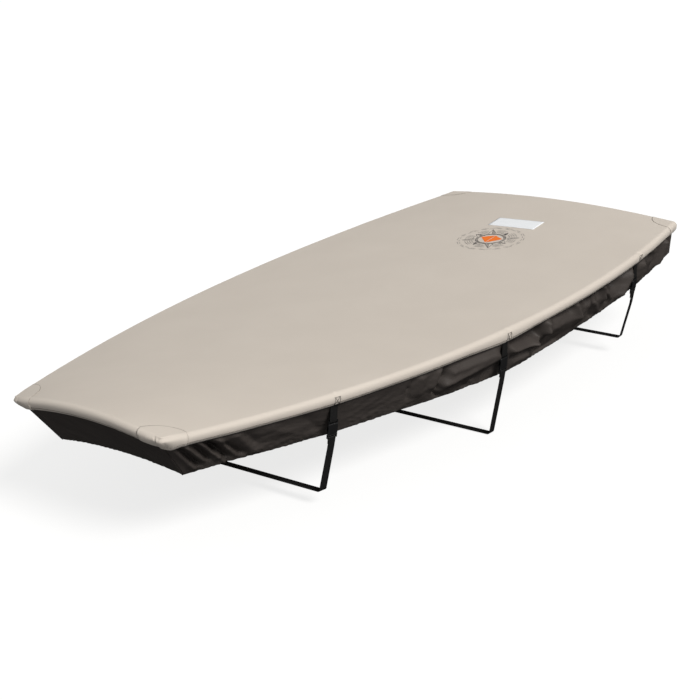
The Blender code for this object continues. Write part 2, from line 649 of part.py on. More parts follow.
# ---------------------------------------------------------------- webbing
def band(name, centres, widths, material, collection):
    """Webbing along centres, its width lying along widths at each."""
    half = WEB_WIDTH / 2

    def point(i, j):
        return centres[i] + widths[i] * (half if j else -half)

    mesh = bmesh.new()
    add_grid(mesh, len(centres) - 1, 1, point)
    facing = widths[0].cross(centres[1] - centres[0])
    add_sheet(name, mesh, facing, WEB_THICKNESS, 0, material, collection)


def strap_end(strap, side):
    """Where a strap lies inside the roll on one side, leaves it, bears on the hull and turns."""
    x = strap["x"]
    step = WEB_WIDTH / 2
    slope = (flat_half(x + step) - flat_half(x - step)) / (2 * step)
    tangent = Vector((1.0, side * slope, 0.0)).normalized()
    stop = {
        "place": Vector((x, side * flat_half(x))),
        "normal": Vector((-side * tangent.y, side * tangent.x)),
        **levels(x, side),
    }
    inside = [roll_point(stop, angle, MARGIN_DEPTH + WEB_THICKNESS / 2) for angle in MARGIN_ANGLES]
    leaves = inside[-1] - outwards(stop, UNDER_ROLL, 0.0035)
    bears = Vector((x, side * strap["bear_half"], -strap["bear_depth"]))
    chine = Vector((x, side * strap["chine_half"], -strap["chine_depth"]))
    line = (bears - leaves).normalized()
    across = (tangent - line * tangent.dot(line)).normalized()
    return {"inside": inside, "leaves": leaves, "bears": bears, "chine": chine, "line": line,
            "tangent": tangent, "across": across}


def loop_round(bar, towards, outward, tail):
    """Webbing that comes along towards on the outward side, rounds the bar and runs back."""
    points = []
    for degrees in (0, 36, 72, 108, 144, 180):
        angle = math.radians(degrees)
        spoke = outward * math.cos(angle) + towards * math.sin(angle)
        points.append(bar + spoke * LOOP_RADIUS)
    eased = outward * (LOOP_RADIUS - WEB_THICKNESS / 2 - SEAM_GAP / 2) - towards * tail * 0.4
    points.append(points[-1] + eased)
    points.append(points[-1] - towards * tail * 0.6)
    return points


def chine_bend(chine, before, after):
    """A rounded turn of the webbing at the chine, between two directions of travel."""
    start, end = chine - before * CHINE_RADIUS, chine + after * CHINE_RADIUS
    middle = start.lerp(chine, 0.5).lerp(chine.lerp(end, 0.5), 0.5)
    return [start, middle, end]


def build_straps(material, plastic, buckle_parts, collection):
    keel_way = Vector((0, 1, 0))
    flat = Vector((1, 0, 0))
    for number, strap in enumerate(STRAPS, 1):
        near, far = strap_end(strap, -1), strap_end(strap, 1)
        line, across = near["line"], near["across"]
        outward = line.cross(across)
        bar_height = gunwale_height(strap["x"]) - BUCKLE_DROP
        upper = near["leaves"] + line * ((near["leaves"].z - bar_height) / -line.z)
        lower = upper + line * BUCKLE["bar_spacing"]

        loop = loop_round(upper, line, outward, 0.026)
        tab = near["inside"] + [near["leaves"]] + loop
        widths = [near["tangent"]] * len(near["inside"]) + [across] * (1 + len(loop))
        band(f"strap_tab_{number}", tab, widths, material, collection)

        loop = list(reversed(loop_round(lower, -line, outward, 0.020)))
        centres = loop + [near["bears"]]
        widths = [across] * len(centres)
        down = (near["chine"] - near["bears"]).normalized()
        up = (far["bears"] - far["chine"]).normalized()
        centres += chine_bend(near["chine"], down, keel_way)
        centres.append(near["chine"].lerp(far["chine"], 0.5))
        centres += chine_bend(far["chine"], keel_way, up)
        widths += [flat] * 7
        centres.append(far["bears"])
        widths.append(far["across"])
        centres += [far["leaves"]] + list(reversed(far["inside"]))
        widths += [far["across"]] + [far["tangent"]] * len(far["inside"])
        band(f"strap_{number}", centres, widths, material, collection)

        turn = Matrix((line.cross(outward), line, outward)).transposed().to_4x4()
        for part, mesh in buckle_parts.items():
            item = bpy.data.objects.new(f"buckle_{part}_{number}", mesh)
            item.matrix_world = Matrix.Translation(upper) @ turn
            collection.objects.link(item)


# ---------------------------------------------------------------- side-release buckle
def box(size, centre, collection, chamfer=0.0):
    bpy.ops.mesh.primitive_cube_add(size=1.0)
    item = bpy.context.active_object
    item.data.transform(Matrix.Translation(centre) @ Matrix.Diagonal((*size, 1.0)))
    for old in list(item.users_collection):
        old.objects.unlink(item)
    collection.objects.link(item)
    if chamfer:
        soft = item.modifiers.new("soft_edges", "BEVEL")
        soft.width = chamfer
        soft.segments = 1
    return item


def combine(target, others, operation):
    for other in others:
        other.hide_render = True
        other.display_type = "WIRE"
        step = target.modifiers.new(operation.lower(), "BOOLEAN")
        step.object = other
        step.operation = operation
        step.solver = "EXACT"


def rail_frame(start, end, helpers):
    """Two side rails, from start to end along the strap."""
    x = BUCKLE["width"] / 2 - BUCKLE["ear"] / 2
    size = (BUCKLE["ear"], end - start, BUCKLE["ear_depth"])
    return [box(size, (side * x, (start + end) / 2, 0), helpers) for side in (-1, 1)]


def cross_bar(y, helpers):
    return box((BUCKLE["width"] - 0.002, BUCKLE["bar"], BUCKLE["bar"]), (0, y, 0), helpers, 0.0008)


def socket_form(helpers):
    width, length = BUCKLE["width"], BUCKLE["socket_length"]
    start = BUCKLE["socket_start"]
    middle = start + length / 2
    body = box((width, length, BUCKLE["socket_depth"]), (0, middle, 0), helpers, 0.0018)
    rails = rail_frame(-BUCKLE["ear"] / 2 - 0.0006, start + 0.004, helpers)
    combine(body, rails + [cross_bar(0, helpers)], "UNION")
    pocket_size = (BUCKLE["pocket_width"], length, BUCKLE["pocket_depth"])
    pocket = box(pocket_size, (0, middle + 0.0040, 0), helpers)
    window_size = (0.0080, 0.0150, BUCKLE["socket_depth"] * 0.72)
    windows = [box(window_size, (side * width / 2, middle - 0.001, 0), helpers) for side in (-1, 1)]
    combine(body, [pocket] + windows, "DIFFERENCE")
    return body


def plug_form(helpers):
    width, start = BUCKLE["width"], BUCKLE["plug_start"]
    end = start + BUCKLE["plug_length"]
    size = (width, BUCKLE["plug_length"], BUCKLE["plug_depth"])
    body = box(size, (0, (start + end) / 2, 0), helpers, 0.0010)
    rails = rail_frame(end - 0.001, BUCKLE["bar_spacing"] + BUCKLE["ear"] / 2 + 0.0006, helpers)
    arm = BUCKLE["arm"]
    arms = [cross_bar(BUCKLE["bar_spacing"], helpers)]
    for side in (-1, 1):
        arms.append(box((arm, 0.0270, arm), (side * 0.0098, start - 0.0125, 0), helpers))
        arms.append(box((arm * 1.35, 0.0095, arm * 0.94), (side * 0.0107, start - 0.0200, 0), helpers))
    arms.append(box((0.0046, 0.0230, arm * 0.9), (0, start - 0.0105, 0), helpers))
    combine(body, rails + arms, "UNION")
    return body


def buckle_meshes(plastic, helpers):
    """Both halves about the upper bar: X across the webbing, Y down the strap, Z outwards."""
    forms = {"socket": socket_form(helpers), "plug": plug_form(helpers)}
    graph = bpy.context.evaluated_depsgraph_get()
    made = {}
    for part, form in forms.items():
        mesh = bpy.data.meshes.new_from_object(form.evaluated_get(graph))
        mesh.name = f"buckle_{part}"
        mesh.materials.clear()
        mesh.materials.append(plastic)
        mesh.shade_smooth()
        mesh.set_sharp_from_angle(angle=math.radians(35))
        made[part] = mesh
    for form in forms.values():
        bpy.data.objects.remove(form)
    return made


# ---------------------------------------------------------------- name patch
def build_label(material, collection):
    turn = Matrix.Rotation(math.radians(LABEL["turn"]), 2)

    def point(i, j):
        offset = Vector(((j / 4 - 0.5) * LABEL["height"], (i / 8 - 0.5) * LABEL["width"]))
        spot = turn @ offset + Vector((LABEL["x"], LABEL["y"]))
        return Vector((*spot, top_height(spot.x, spot.y / flat_half(spot.x)) + LAID_GAP))

    mesh = bmesh.new()
    add_grid(mesh, 8, 4, point)
    add_sheet("name_patch", mesh, UP, LABEL_THICKNESS, 1, material, collection)


def main():
    clear_scene()
    parts = bpy.data.collections.new("boat_cover")
    helpers = bpy.data.collections.new("cutters")
    bpy.context.scene.collection.children.link(parts)
    bpy.context.scene.collection.children.link(helpers)
    canvas = make_material("canvas", COLOURS["canvas"], 0.75)
    nylon = make_material("nylon", COLOURS["nylon"], 0.45)
    webbing = make_material("webbing", COLOURS["webbing"], 0.6)
    plastic = make_material("plastic", COLOURS["plastic"], 0.35)
    label = make_material("label", COLOURS["label"], 0.4)
    buckle_parts = buckle_meshes(plastic, helpers)
    build_top(canvas, parts)
    build_patch("corner_patch_bow_port", -1, -1, canvas, parts)
    build_patch("corner_patch_bow_starboard", -1, 1, canvas, parts)
    build_patch("corner_patch_stern_port", 1, -1, canvas, parts)
    build_patch("corner_patch_stern_starboard", 1, 1, canvas, parts)
    build_skirt(nylon, parts)
    build_straps(webbing, plastic, buckle_parts, parts)
    build_label(label, parts)


main()
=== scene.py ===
import math

import bmesh
import bpy
from mathutils import Matrix, Vector, noise


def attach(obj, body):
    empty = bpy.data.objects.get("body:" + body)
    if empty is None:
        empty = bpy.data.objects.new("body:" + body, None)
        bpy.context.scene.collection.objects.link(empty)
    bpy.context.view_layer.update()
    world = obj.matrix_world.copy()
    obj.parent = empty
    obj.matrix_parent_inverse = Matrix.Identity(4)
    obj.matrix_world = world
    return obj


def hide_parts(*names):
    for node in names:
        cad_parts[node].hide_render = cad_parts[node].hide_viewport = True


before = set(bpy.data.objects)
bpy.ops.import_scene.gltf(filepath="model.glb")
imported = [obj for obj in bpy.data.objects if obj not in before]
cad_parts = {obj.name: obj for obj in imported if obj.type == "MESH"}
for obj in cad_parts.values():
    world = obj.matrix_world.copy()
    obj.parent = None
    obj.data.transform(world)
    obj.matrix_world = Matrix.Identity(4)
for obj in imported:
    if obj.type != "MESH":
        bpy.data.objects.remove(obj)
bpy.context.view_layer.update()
print("frame loaded:", len(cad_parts), "nodes")

# the boat's lines that every layer of the cover follows, in metres
lines = {
    "length": 2.3468,
    "halfBeam": {0.0: 0.3111, 1 / 3: 0.5307, 2 / 3: 0.5875, 1.0: 0.4909},
    "sheerSag": 0.0253,
    "crown": (0.0301, 0.012, 0.0238),  # bow, middle, stern
    "rollRadius": 0.015,  # down to the roll's widest line
    "rollUnder": 0.027,  # the slacker turn below that
    "strapPull": 0.0084,
    "strapPullReach": 0.12,
    "cornerOutset": 0.0006,
    "cornerReach": 0.009,
    "seamRounding": 0.065,  # the seam turns wider round the bow corners
    "seamRoundingReach": 0.072,
    "seamDroop": 0.009,  # and hangs lower aft of the port one
    "seamDegrees": 150,  # the roll ends at the seam
    "shiftOnTop": (0.3, 45),  # share of the seam's shift, and the degrees that it takes
    "shiftUnder": (0.7, 68, 72),  # the rest, from which degree and over how many
}
cloth = {
    "top": 0.0015,
    "skirt": 0.0012,
    "patch": 0.0006,
    "webbing": 0.0015,
    "seamGap": 0.0005,
    "patchGap": 0.0004,
}
straps = [
    {"x": -0.641, "bear": (0.433, 0.187), "chine": (0.385, 0.336), "pull": 0.2, "turn": 0.30},
    {"x": 0.040, "bear": (0.541, 0.200), "chine": (0.490, 0.383), "pull": 1.0, "turn": 0.05},
    {"x": 0.836, "bear": (0.508, 0.190), "chine": (0.462, 0.322), "pull": 0.15, "turn": -0.15},
]
flatHalfLength = lines["length"] / 2 - lines["rollRadius"]
marginDepth = cloth["top"] + cloth["seamGap"]


def mix(a, b, t):
    return a + (b - a) * t


def smooth(value):
    t = min(1.0, max(0.0, value))
    return t * t * (3 - 2 * t)


def bell(distance, width):
    return math.exp(-((distance / width) ** 2))


def wander(x, y, seed=0.0):
    return noise.noise(Vector((x, y, seed)))


def halfBeam(x):
    share = x / lines["length"] + 0.5
    total = 0.0
    for station, value in lines["halfBeam"].items():
        weight = 1.0
        for other in lines["halfBeam"]:
            if other != station:
                weight *= (share - other) / (station - other)
        total += value * weight
    return total


def flatHalf(x):
    return halfBeam(x) - lines["rollRadius"]


def sheer(x):
    bow, middle, stern = lines["crown"]
    sag = lines["sheerSag"] * (2 * x / lines["length"]) ** 2
    return sag - (bow / 4 + stern / 4 + middle / 2) + cloth["top"]


def crown(x):
    share = x / lines["length"] + 0.5
    bow, middle, stern = lines["crown"]
    return bow * (1 - share) ** 2 + middle * 2 * share * (1 - share) + stern * share * share


def rollSection(degrees):
    # how far out and how far down the canvas is, this many degrees round the gunwale
    angle = math.radians(degrees)
    radius, under = lines["rollRadius"], lines["rollUnder"]
    if degrees <= 90:
        return radius * math.sin(angle), radius * (1 - math.cos(angle))
    return radius - under * (1 - math.sin(angle)), radius - under * math.cos(angle)


def stretchAt(x):
    # a strap pulls the roll's seam down, and so makes the roll taller
    pull = sum(strap["pull"] * bell(x - strap["x"], lines["strapPullReach"]) for strap in straps)
    return 1 + lines["strapPull"] * pull / rollSection(lines["seamDegrees"])[1]


def seamShift(x, across):
    # how far the seam is drawn in and down beside a bow corner
    along = x + flatHalfLength
    beside = (1 - abs(across)) * flatHalf(-flatHalfLength)
    away = max(along, beside)
    reach, radius = lines["seamRoundingReach"], lines["seamRounding"]
    if away >= reach:
        return Vector((0, 0, 0))
    turn = math.radians(45 * (1 - away / reach))
    onward, inward = radius * (1 - math.sin(turn)) - away, radius * (1 - math.cos(turn))
    if along == beside:
        onward = inward
    shift = (onward, inward) if along > beside else (inward, onward)
    droop = 0.0
    if across < 0:
        droop = lines["seamDroop"] * bell(along - 0.018, 0.022) * (1 - smooth(beside / 0.012))
    return Vector((shift[0], -math.copysign(shift[1], across), -droop))


def topHeight(x, across):
    return sheer(x) + crown(x) * (1 - across * across)


def stopAt(x, across, normal, side):
    corner = Vector((math.copysign(flatHalfLength, x), math.copysign(1.0, across)))
    place = Vector((x, across * flatHalf(x)))
    away = (place - Vector((corner.x, corner.y * flatHalf(corner.x)))).length
    peak = lines["cornerOutset"] * bell(away, lines["cornerReach"])
    place = place + Vector((math.copysign(peak, x), math.copysign(peak, across)))
    return {
        "x": x, "across": across, "place": place, "normal": Vector(normal).normalized(), "side": side,
        "height": topHeight(x, across), "stretch": stretchAt(x), "shift": seamShift(x, across),
        "inside": 0.0,
    }


def sideNormal(x, sign):
    slope = (flatHalf(x + 0.002) - flatHalf(x - 0.002)) / 0.004
    return Vector((-slope, sign))


def outwards(stop, distance, height=0.0):
    return Vector((*(stop["normal"] * distance), height))


def rollPoint(stop, degrees, inside):
    angle = math.radians(degrees)
    out, down = rollSection(degrees)
    height = stop["height"] - down * stop["stretch"] - inside * math.cos(angle)
    point = Vector((*stop["place"], height)) + outwards(stop, out - inside * math.sin(angle))
    topShare, topDegrees = lines["shiftOnTop"]
    underShare, start, span = lines["shiftUnder"]
    drawn = topShare * smooth(degrees / topDegrees) + underShare * smooth((degrees - start) / span)
    return point + stop["shift"] * drawn


def spread(start, end, count):
    return [mix(start, end, i / count) for i in range(count + 1)]


def denser(values, extra):
    return sorted(set(round(v, 6) for v in list(values) + list(extra)))


def cornerStops(lengthwise, sideways, upTo, count):
    # stations that turn round one corner, from the side's own normal (0) towards the end's (1)
    side = sideNormal(lengthwise * flatHalfLength, sideways).normalized()
    end = Vector((lengthwise, 0.0))
    x = lengthwise * flatHalfLength
    return [stopAt(x, sideways, side.slerp(end, share), "corner") for share in spread(0.0, upTo, count)]


def addRuns(stops):
    # each station's distance along the edge from the first one
    run = 0.0
    for before, stop in zip([stops[0]] + stops, stops):
        run += (stop["place"] - before["place"]).length
        stop["run"] = run
    return run


# mesh columns of the top: closer together near the edges, where the cloth bends, and at the straps
edgeColumns = {
    "along": (0.002, 0.004, 0.006, 0.009, 0.012, 0.020, 0.027, 0.035, 0.043, 0.051, 0.059, 0.067, 0.073),
    "across": (
        0.004, 0.008, 0.014, 0.022, 0.034, 0.05, 0.066, 0.09, 0.115, 0.14, 0.165, 0.19, 0.215, 0.24),
    "strap": (-0.009, -0.006, -0.003, 0.0, 0.003, 0.006, 0.009),
}


def nearEdges(half, distances):
    return [sign * (half - d) for d in distances for sign in (-1, 1)]


topColumns = {
    "along": denser(
        spread(-flatHalfLength, flatHalfLength, 150),
        nearEdges(flatHalfLength, edgeColumns["along"])
        + [strap["x"] + d for strap in straps for d in edgeColumns["strap"]]),
    "across": denser(spread(-1.0, 1.0, 44), nearEdges(1, edgeColumns["across"])),
}


def newObject(name, mesh, materials):
    data = bpy.data.meshes.new(name)
    mesh.to_mesh(data)
    mesh.free()
    for material in materials:
        data.materials.append(material)
    data.shade_smooth()
    item = bpy.data.objects.new(name, data)
    bpy.context.scene.collection.objects.link(item)
    return item


def addGrid(mesh, columns, rows, pointAt, clothAt, closed=False):
    # a grid of quads with its own cloth coordinates in metres, so that a weave follows the surface
    layer = mesh.loops.layers.uv.verify()
    stations = range(columns + (not closed))
    vertices = [[mesh.verts.new(pointAt(i, j)) for j in range(rows + 1)] for i in stations]
    for i in range(columns):
        for j in range(rows):
            spots = ((i, j), (i + 1, j), (i + 1, j + 1), (i, j + 1))
            face = mesh.faces.new([vertices[a % len(vertices)][b] for a, b in spots])
            for loop, (a, b) in zip(face.loops, spots):
                loop[layer].uv = clothAt(a, b)


def finishSheet(mesh, facing, merge=1e-5):
    bmesh.ops.remove_doubles(mesh, verts=mesh.verts, dist=merge)
    bmesh.ops.dissolve_degenerate(mesh, edges=mesh.edges, dist=1e-6)
    bmesh.ops.recalc_face_normals(mesh, faces=mesh.faces)
    if sum(face.normal.dot(facing) * face.calc_area() for face in mesh.faces) < 0:
        bmesh.ops.reverse_faces(mesh, faces=mesh.faces)


def bake(item):
    # the modifiers' result becomes the piece's own mesh
    bpy.context.view_layer.update()
    graph = bpy.context.evaluated_depsgraph_get()
    made = bpy.data.meshes.new_from_object(
        item.evaluated_get(graph), preserve_all_data_layers=True, depsgraph=graph)
    item.modifiers.clear()
    item.data = made


def thicken(item, thickness, offset):
    solidify = item.modifiers.new("thickness", "SOLIDIFY")
    solidify.thickness = thickness
    solidify.offset = offset
    solidify.use_quality_normals = True
    bake(item)
    return item


def surfaceArea(mesh):
    return sum(face.calc_area() for face in mesh.faces)


class Port:
    # one socket, so that shader maths reads as plain expressions
    def __init__(self, graph, socket):
        self.graph, self.socket = graph, socket

    def run(self, operation, *values, **more):
        return self.graph.add("ShaderNodeMath", {"operation": operation, **more}, dict(enumerate(values)))

    def __add__(self, other):
        return self.run("ADD", self, other)

    def __sub__(self, other):
        return self.run("SUBTRACT", self, other)

    def __mul__(self, other):
        return self.run("MULTIPLY", self, other)

    def __radd__(self, other):
        return self.run("ADD", other, self)

    def __rsub__(self, other):
        return self.run("SUBTRACT", other, self)

    def __rmul__(self, other):
        return self.run("MULTIPLY", other, self)

    def clamped(self):
        return self.run("ADD", self, 0.0, use_clamp=True)

    def sine(self):
        return self.run("SINE", self)


class Graph:
    # a node tree in which every node is made the same way
    def __init__(self, tree):
        self.tree = tree

    def add(self, kind, settings=None, values=None, out=0):
        # one node: its settings first, then the values or links of its sockets
        node = self.tree.nodes.new(kind)
        for key, value in (settings or {}).items():
            setattr(node, key, value)
        for key, value in (values or {}).items():
            self.put(node.inputs[key], value)
        return Port(self, node.outputs[out]) if len(node.outputs) else None

    def put(self, socket, value):
        if isinstance(value, Port):
            self.tree.links.new(value.socket, socket)
        else:
            socket.default_value = value


class Finish(Graph):
    def __init__(self, name):
        self.material = bpy.data.materials.new(name)
        self.material.use_nodes = True
        super().__init__(self.material.node_tree)
        self.shader = self.tree.nodes["Principled BSDF"]

    def set(self, **values):
        for key, value in values.items():
            self.put(self.shader.inputs[key.replace("_", " ")], value)

    def place(self, scale=(1, 1, 1), turn=0.0, where="UV"):
        spot = self.add("ShaderNodeTexCoord", out=where)
        return self.add("ShaderNodeMapping", {}, {
            "Vector": spot, "Scale": scale, "Rotation": (0, 0, turn)})

    def noise(self, spot, scale, detail=4.0, roughness=0.55):
        return self.add("ShaderNodeTexNoise", {}, {
            "Vector": spot, "Scale": scale, "Detail": detail, "Roughness": roughness})

    def blend(self, factor, a, b):
        return self.add("ShaderNodeMix", {"data_type": "RGBA"}, {"Factor": factor, 6: a, 7: b}, out=2)

    def split(self, spot):
        # the first two coordinates
        node = self.add("ShaderNodeSeparateXYZ", {}, {0: spot}).socket.node
        return Port(self, node.outputs[0]), Port(self, node.outputs[1])

    def bump(self, height, distance, strength=1.0):
        self.set(Normal=self.add("ShaderNodeBump", {}, {
            "Height": height, "Distance": distance, "Strength": strength}))


def shade(red, green, blue):
    return (red, green, blue, 1.0)


def wovenHeight(finish, spot, pitch):
    # warp over weft at a real pitch in metres
    u, v = finish.split(spot)
    warp = (u * (math.pi / pitch)).sine()
    weft = (v * (math.pi / pitch)).sine()
    return warp * weft * 0.5 + 0.5


def canvasFinish():
    look = {
        "base": shade(0.546, 0.494, 0.438),
        "light": shade(0.567, 0.515, 0.458),
        "dustAndWeaveShade": shade(0.480, 0.430, 0.372),
        "pitch": 0.0011,
    }
    finish = Finish("canvasCloth")
    spot = finish.place()
    cloud = finish.noise(spot, 5.0, 3.0)
    mottle = finish.noise(spot, 160.0, 5.0, 0.7)
    weave = wovenHeight(finish, spot, look["pitch"])
    tone = finish.blend(((cloud - 0.38) * 2.4).clamped(), look["base"], look["light"])
    tone = finish.blend(((mottle - 0.5) * 1.4).clamped() * 0.35, tone, look["dustAndWeaveShade"])
    # painted shade: the weave's hollows are darkened towards the dusty tone, as shade between the threads
    tone = finish.blend((1 - weave) * 0.10, tone, look["dustAndWeaveShade"])
    finish.set(Base_Color=tone, Roughness=0.80 + (mottle - 0.5) * 0.12)
    finish.set(Sheen_Weight=0.08, Sheen_Roughness=0.5, Specular_IOR_Level=0.22)
    finish.bump(weave * 0.55 + mottle * 0.45, 0.00022, 0.55)
    return finish.material


def nylonFinish():
    look = {
        "base": shade(0.0475, 0.0405, 0.0370),
        "worn": shade(0.0620, 0.0530, 0.0480),
        "pitch": 0.0008,
    }
    finish = Finish("skirtNylon")
    spot = finish.place()
    cloud = finish.noise(spot, 9.0, 4.0)
    crumple = finish.noise(spot, 46.0, 6.0, 0.62)
    weave = wovenHeight(finish, spot, look["pitch"])
    tone = finish.blend(((cloud - 0.35) * 2.2).clamped(), look["base"], look["worn"])
    # painted shade: the weave's hollows are darkened, as shade between the threads
    tone = finish.blend((1 - weave) * 0.3, tone, shade(0.028, 0.023, 0.020))
    finish.set(Base_Color=tone, Roughness=0.52 + (cloud - 0.5) * 0.14)
    finish.set(Specular_IOR_Level=0.16)
    finish.bump(weave * 0.12 + crumple * 0.88, 0.0011, 0.55)
    return finish.material


def webbingFinish():
    look = {"base": shade(0.0050, 0.0048, 0.0048), "high": shade(0.0125, 0.0120, 0.0120), "rib": 0.0019}
    finish = Finish("strapWebbing")
    spot = finish.place()
    u, v = finish.split(spot)
    # ribs across the band, each leaning one way and then the other
    rows = (v * (2 * math.pi / 0.0052)).sine()
    ribs = ((u * (2 * math.pi / look["rib"])) + rows * 1.7).sine() * 0.5 + 0.5
    fuzz = finish.noise(spot, 700.0, 3.0)
    # painted highlight: the ribs' crests are lighter, plus some random fuzz
    finish.set(Base_Color=finish.blend((ribs * 0.7 + fuzz * 0.2).clamped(), look["base"], look["high"]),
               Roughness=0.60 + (fuzz - 0.5) * 0.2)
    finish.set(Specular_IOR_Level=0.18)
    finish.bump(ribs * 0.8 + fuzz * 0.2, 0.00035, 0.8)
    return finish.material


def plasticFinish():
    finish = Finish("buckleAcetal")
    spot = finish.place(where="Object")
    grain = finish.noise(spot, 900.0, 4.0)
    scuff = finish.noise(spot, 60.0, 6.0, 0.7)
    finish.set(Base_Color=finish.blend(((scuff - 0.52) * 2.6).clamped(), shade(0.006, 0.006, 0.0065),
                                       shade(0.013, 0.013, 0.0135)),
               Roughness=0.42 + (scuff - 0.5) * 0.3)
    finish.set(Specular_IOR_Level=0.25)
    finish.bump(grain, 0.00006, 0.5)
    return finish.material


def labelFinish():
    finish = Finish("namePatchCloth")
    spot = finish.place()
    weave = wovenHeight(finish, spot, 0.0007)
    cloud = finish.noise(spot, 30.0, 4.0)
    base, light = shade(0.800, 0.822, 0.846), shade(0.850, 0.868, 0.885)
    tone = finish.blend(((cloud - 0.4) * 1.8).clamped(), base, light)
    # painted shade: the weave's hollows are darkened, as shade between the threads
    finish.set(Base_Color=finish.blend((1 - weave) * 0.12, tone, shade(0.6, 0.63, 0.68)), Roughness=0.62)
    finish.bump(weave, 0.00014, 0.5)
    return finish.material


def inkFinish(name, ink, cover):
    # printing ink on canvas: it is thin here and there, where a canvas tone shows instead
    finish = Finish(name)
    spot = finish.place(where="Object")
    worn = finish.noise(spot, 260.0, 5.0, 0.75)
    broken = ((worn - (1 - cover) - 0.05) * 9).clamped()
    finish.set(Base_Color=finish.blend(broken, shade(0.45, 0.405, 0.35), ink), Roughness=0.72)
    finish.bump(worn, 0.0001, 0.4)
    return finish.material


def threadFinish(name, colour):
    finish = Finish(name)
    spot = finish.place(where="Object")
    twist = finish.noise(spot, 1500.0, 2.0)
    dark = tuple(c * 0.6 for c in colour[:3]) + (1.0,)
    finish.set(Base_Color=finish.blend(twist, dark, colour), Roughness=0.7)
    finish.bump(twist, 0.00008, 0.5)
    return finish.material


canvas = canvasFinish()
nylon = nylonFinish()
webbing = webbingFinish()
plastic = plasticFinish()
labelCloth = labelFinish()
brownThread = threadFinish("brownThread", shade(0.110, 0.090, 0.072))
blackThread = threadFinish("blackThread", shade(0.012, 0.011, 0.011))
skirtThread = threadFinish("skirtThread", shade(0.022, 0.020, 0.019))
whiteThread = threadFinish("whiteThread", shade(0.62, 0.65, 0.69))
greyInk = inkFinish("greyInk", shade(0.050, 0.049, 0.052), 0.80)
orangeInk = inkFinish("orangeInk", shade(0.80, 0.170, 0.016), 0.86)
print("finishes ready")


def openPiece(item, nodes=()):
    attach(item, "root")
    if nodes:
        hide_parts(*nodes)


# the canvas top
topShape = {
    "drift": 0.0014,  # slow unevenness of the stretched cloth
    "pinch": 0.0016,  # the strap's stitching draws the roll in
    "pinchWidth": 0.0065,
    "besidePinch": (0.8, 0.014, 0.006),  # it swells beside that: share, distance, width
    "ridge": 0.0012,  # and stands up a little on the top's edge
    "seamPucker": 0.0006,
    "seamPitch": 0.0095,
    "flat": (1.25, 2.45),
    "cornerTurns": 7,
    "rollDegrees": (12, 24, 36, 48, 60, 72, 84, 96, 108, 118, 128, 136, 143, 150),
}


def topDrift(x, y):
    slow = wander(x * 2.1, y * 2.6, 3.0) + 0.5 * wander(x * 5.0, y * 6.0, 7.0)
    return topShape["drift"] * slow


def edgeDistance(x, across):
    return min((1 - abs(across)) * flatHalf(x), flatHalfLength - abs(x))


def topSurface(x, across):
    stop = stopAt(x, across, (1, 0), "top")
    inward = edgeDistance(x, across)
    height = stop["height"]
    height += topDrift(*stop["place"]) * smooth(inward / 0.08)
    if abs(across) > 0.5:
        for strap in straps:
            height += topShape["ridge"] * bell(x - strap["x"], 0.005) * bell(inward - 0.002, 0.007)
    return Vector((*stop["place"], height))


def rollSurface(stop, degrees, along, lift=0.0):
    # the rolled edge, with the pinch over each strap and the puckers just above the seam
    if degrees == 0:
        point = topSurface(stop["x"], stop["across"])
        return point + Vector((0, 0, lift))
    inside = -lift
    beside = min(abs(stop["x"] - strap["x"]) for strap in straps)
    if stop["side"] in ("port", "starboard"):
        share = smooth((degrees - 10) / 30) * smooth((150 - degrees) / 30)
        inside += topShape["pinch"] * bell(beside, topShape["pinchWidth"]) * share
        swell, distance, width = topShape["besidePinch"]
        inside -= swell * topShape["pinch"] * bell(beside - distance, width) * share
    near = smooth((degrees - 92) / 40)
    ripple = math.sin(2 * math.pi * (along / topShape["seamPitch"] + 0.8 * wander(along * 22, 0.0, 2.0)))
    ripple *= 0.6 + 0.8 * wander(along * 13, 1.0, 5.0)
    inside += topShape["seamPucker"] * near * (1 - smooth((degrees - 140) / 10)) * ripple
    inside += 0.0005 * wander(along * 9, degrees / 50, 11.0) * smooth(degrees / 40)
    rise = topSurface(stop["x"], stop["across"]).z - stop["height"]
    point = rollPoint(stop, degrees, inside)
    return point + Vector((0, 0, rise * (1 - smooth(degrees / 50))))


def edgeStops():
    # every station round the flat top, from the port bow corner aft, with its run along the edge
    along, across = topColumns["along"], topColumns["across"]
    first, last = along[0], along[-1]
    turns = topShape["cornerTurns"]
    stops = cornerStops(-1, -1, 1.0, turns)[::-1]
    stops += [stopAt(x, -1, sideNormal(x, -1), "port") for x in along[1:-1]]
    stops += cornerStops(1, -1, 1.0, turns)
    stops += [stopAt(last, a, (1, 0), "stern") for a in across[1:-1]]
    stops += cornerStops(1, 1, 1.0, turns)[::-1]
    stops += [stopAt(x, 1, sideNormal(x, 1), "starboard") for x in reversed(along[1:-1])]
    stops += cornerStops(-1, 1, 1.0, turns)
    stops += [stopAt(first, a, (-1, 0), "bow") for a in reversed(across[1:-1])]
    run = 0.0
    for before, stop in zip([stops[-1]] + stops, stops):
        step = (stop["place"] - before["place"]).length
        run += step if step > 1e-6 else 0.004
        stop["run"] = run
    return stops


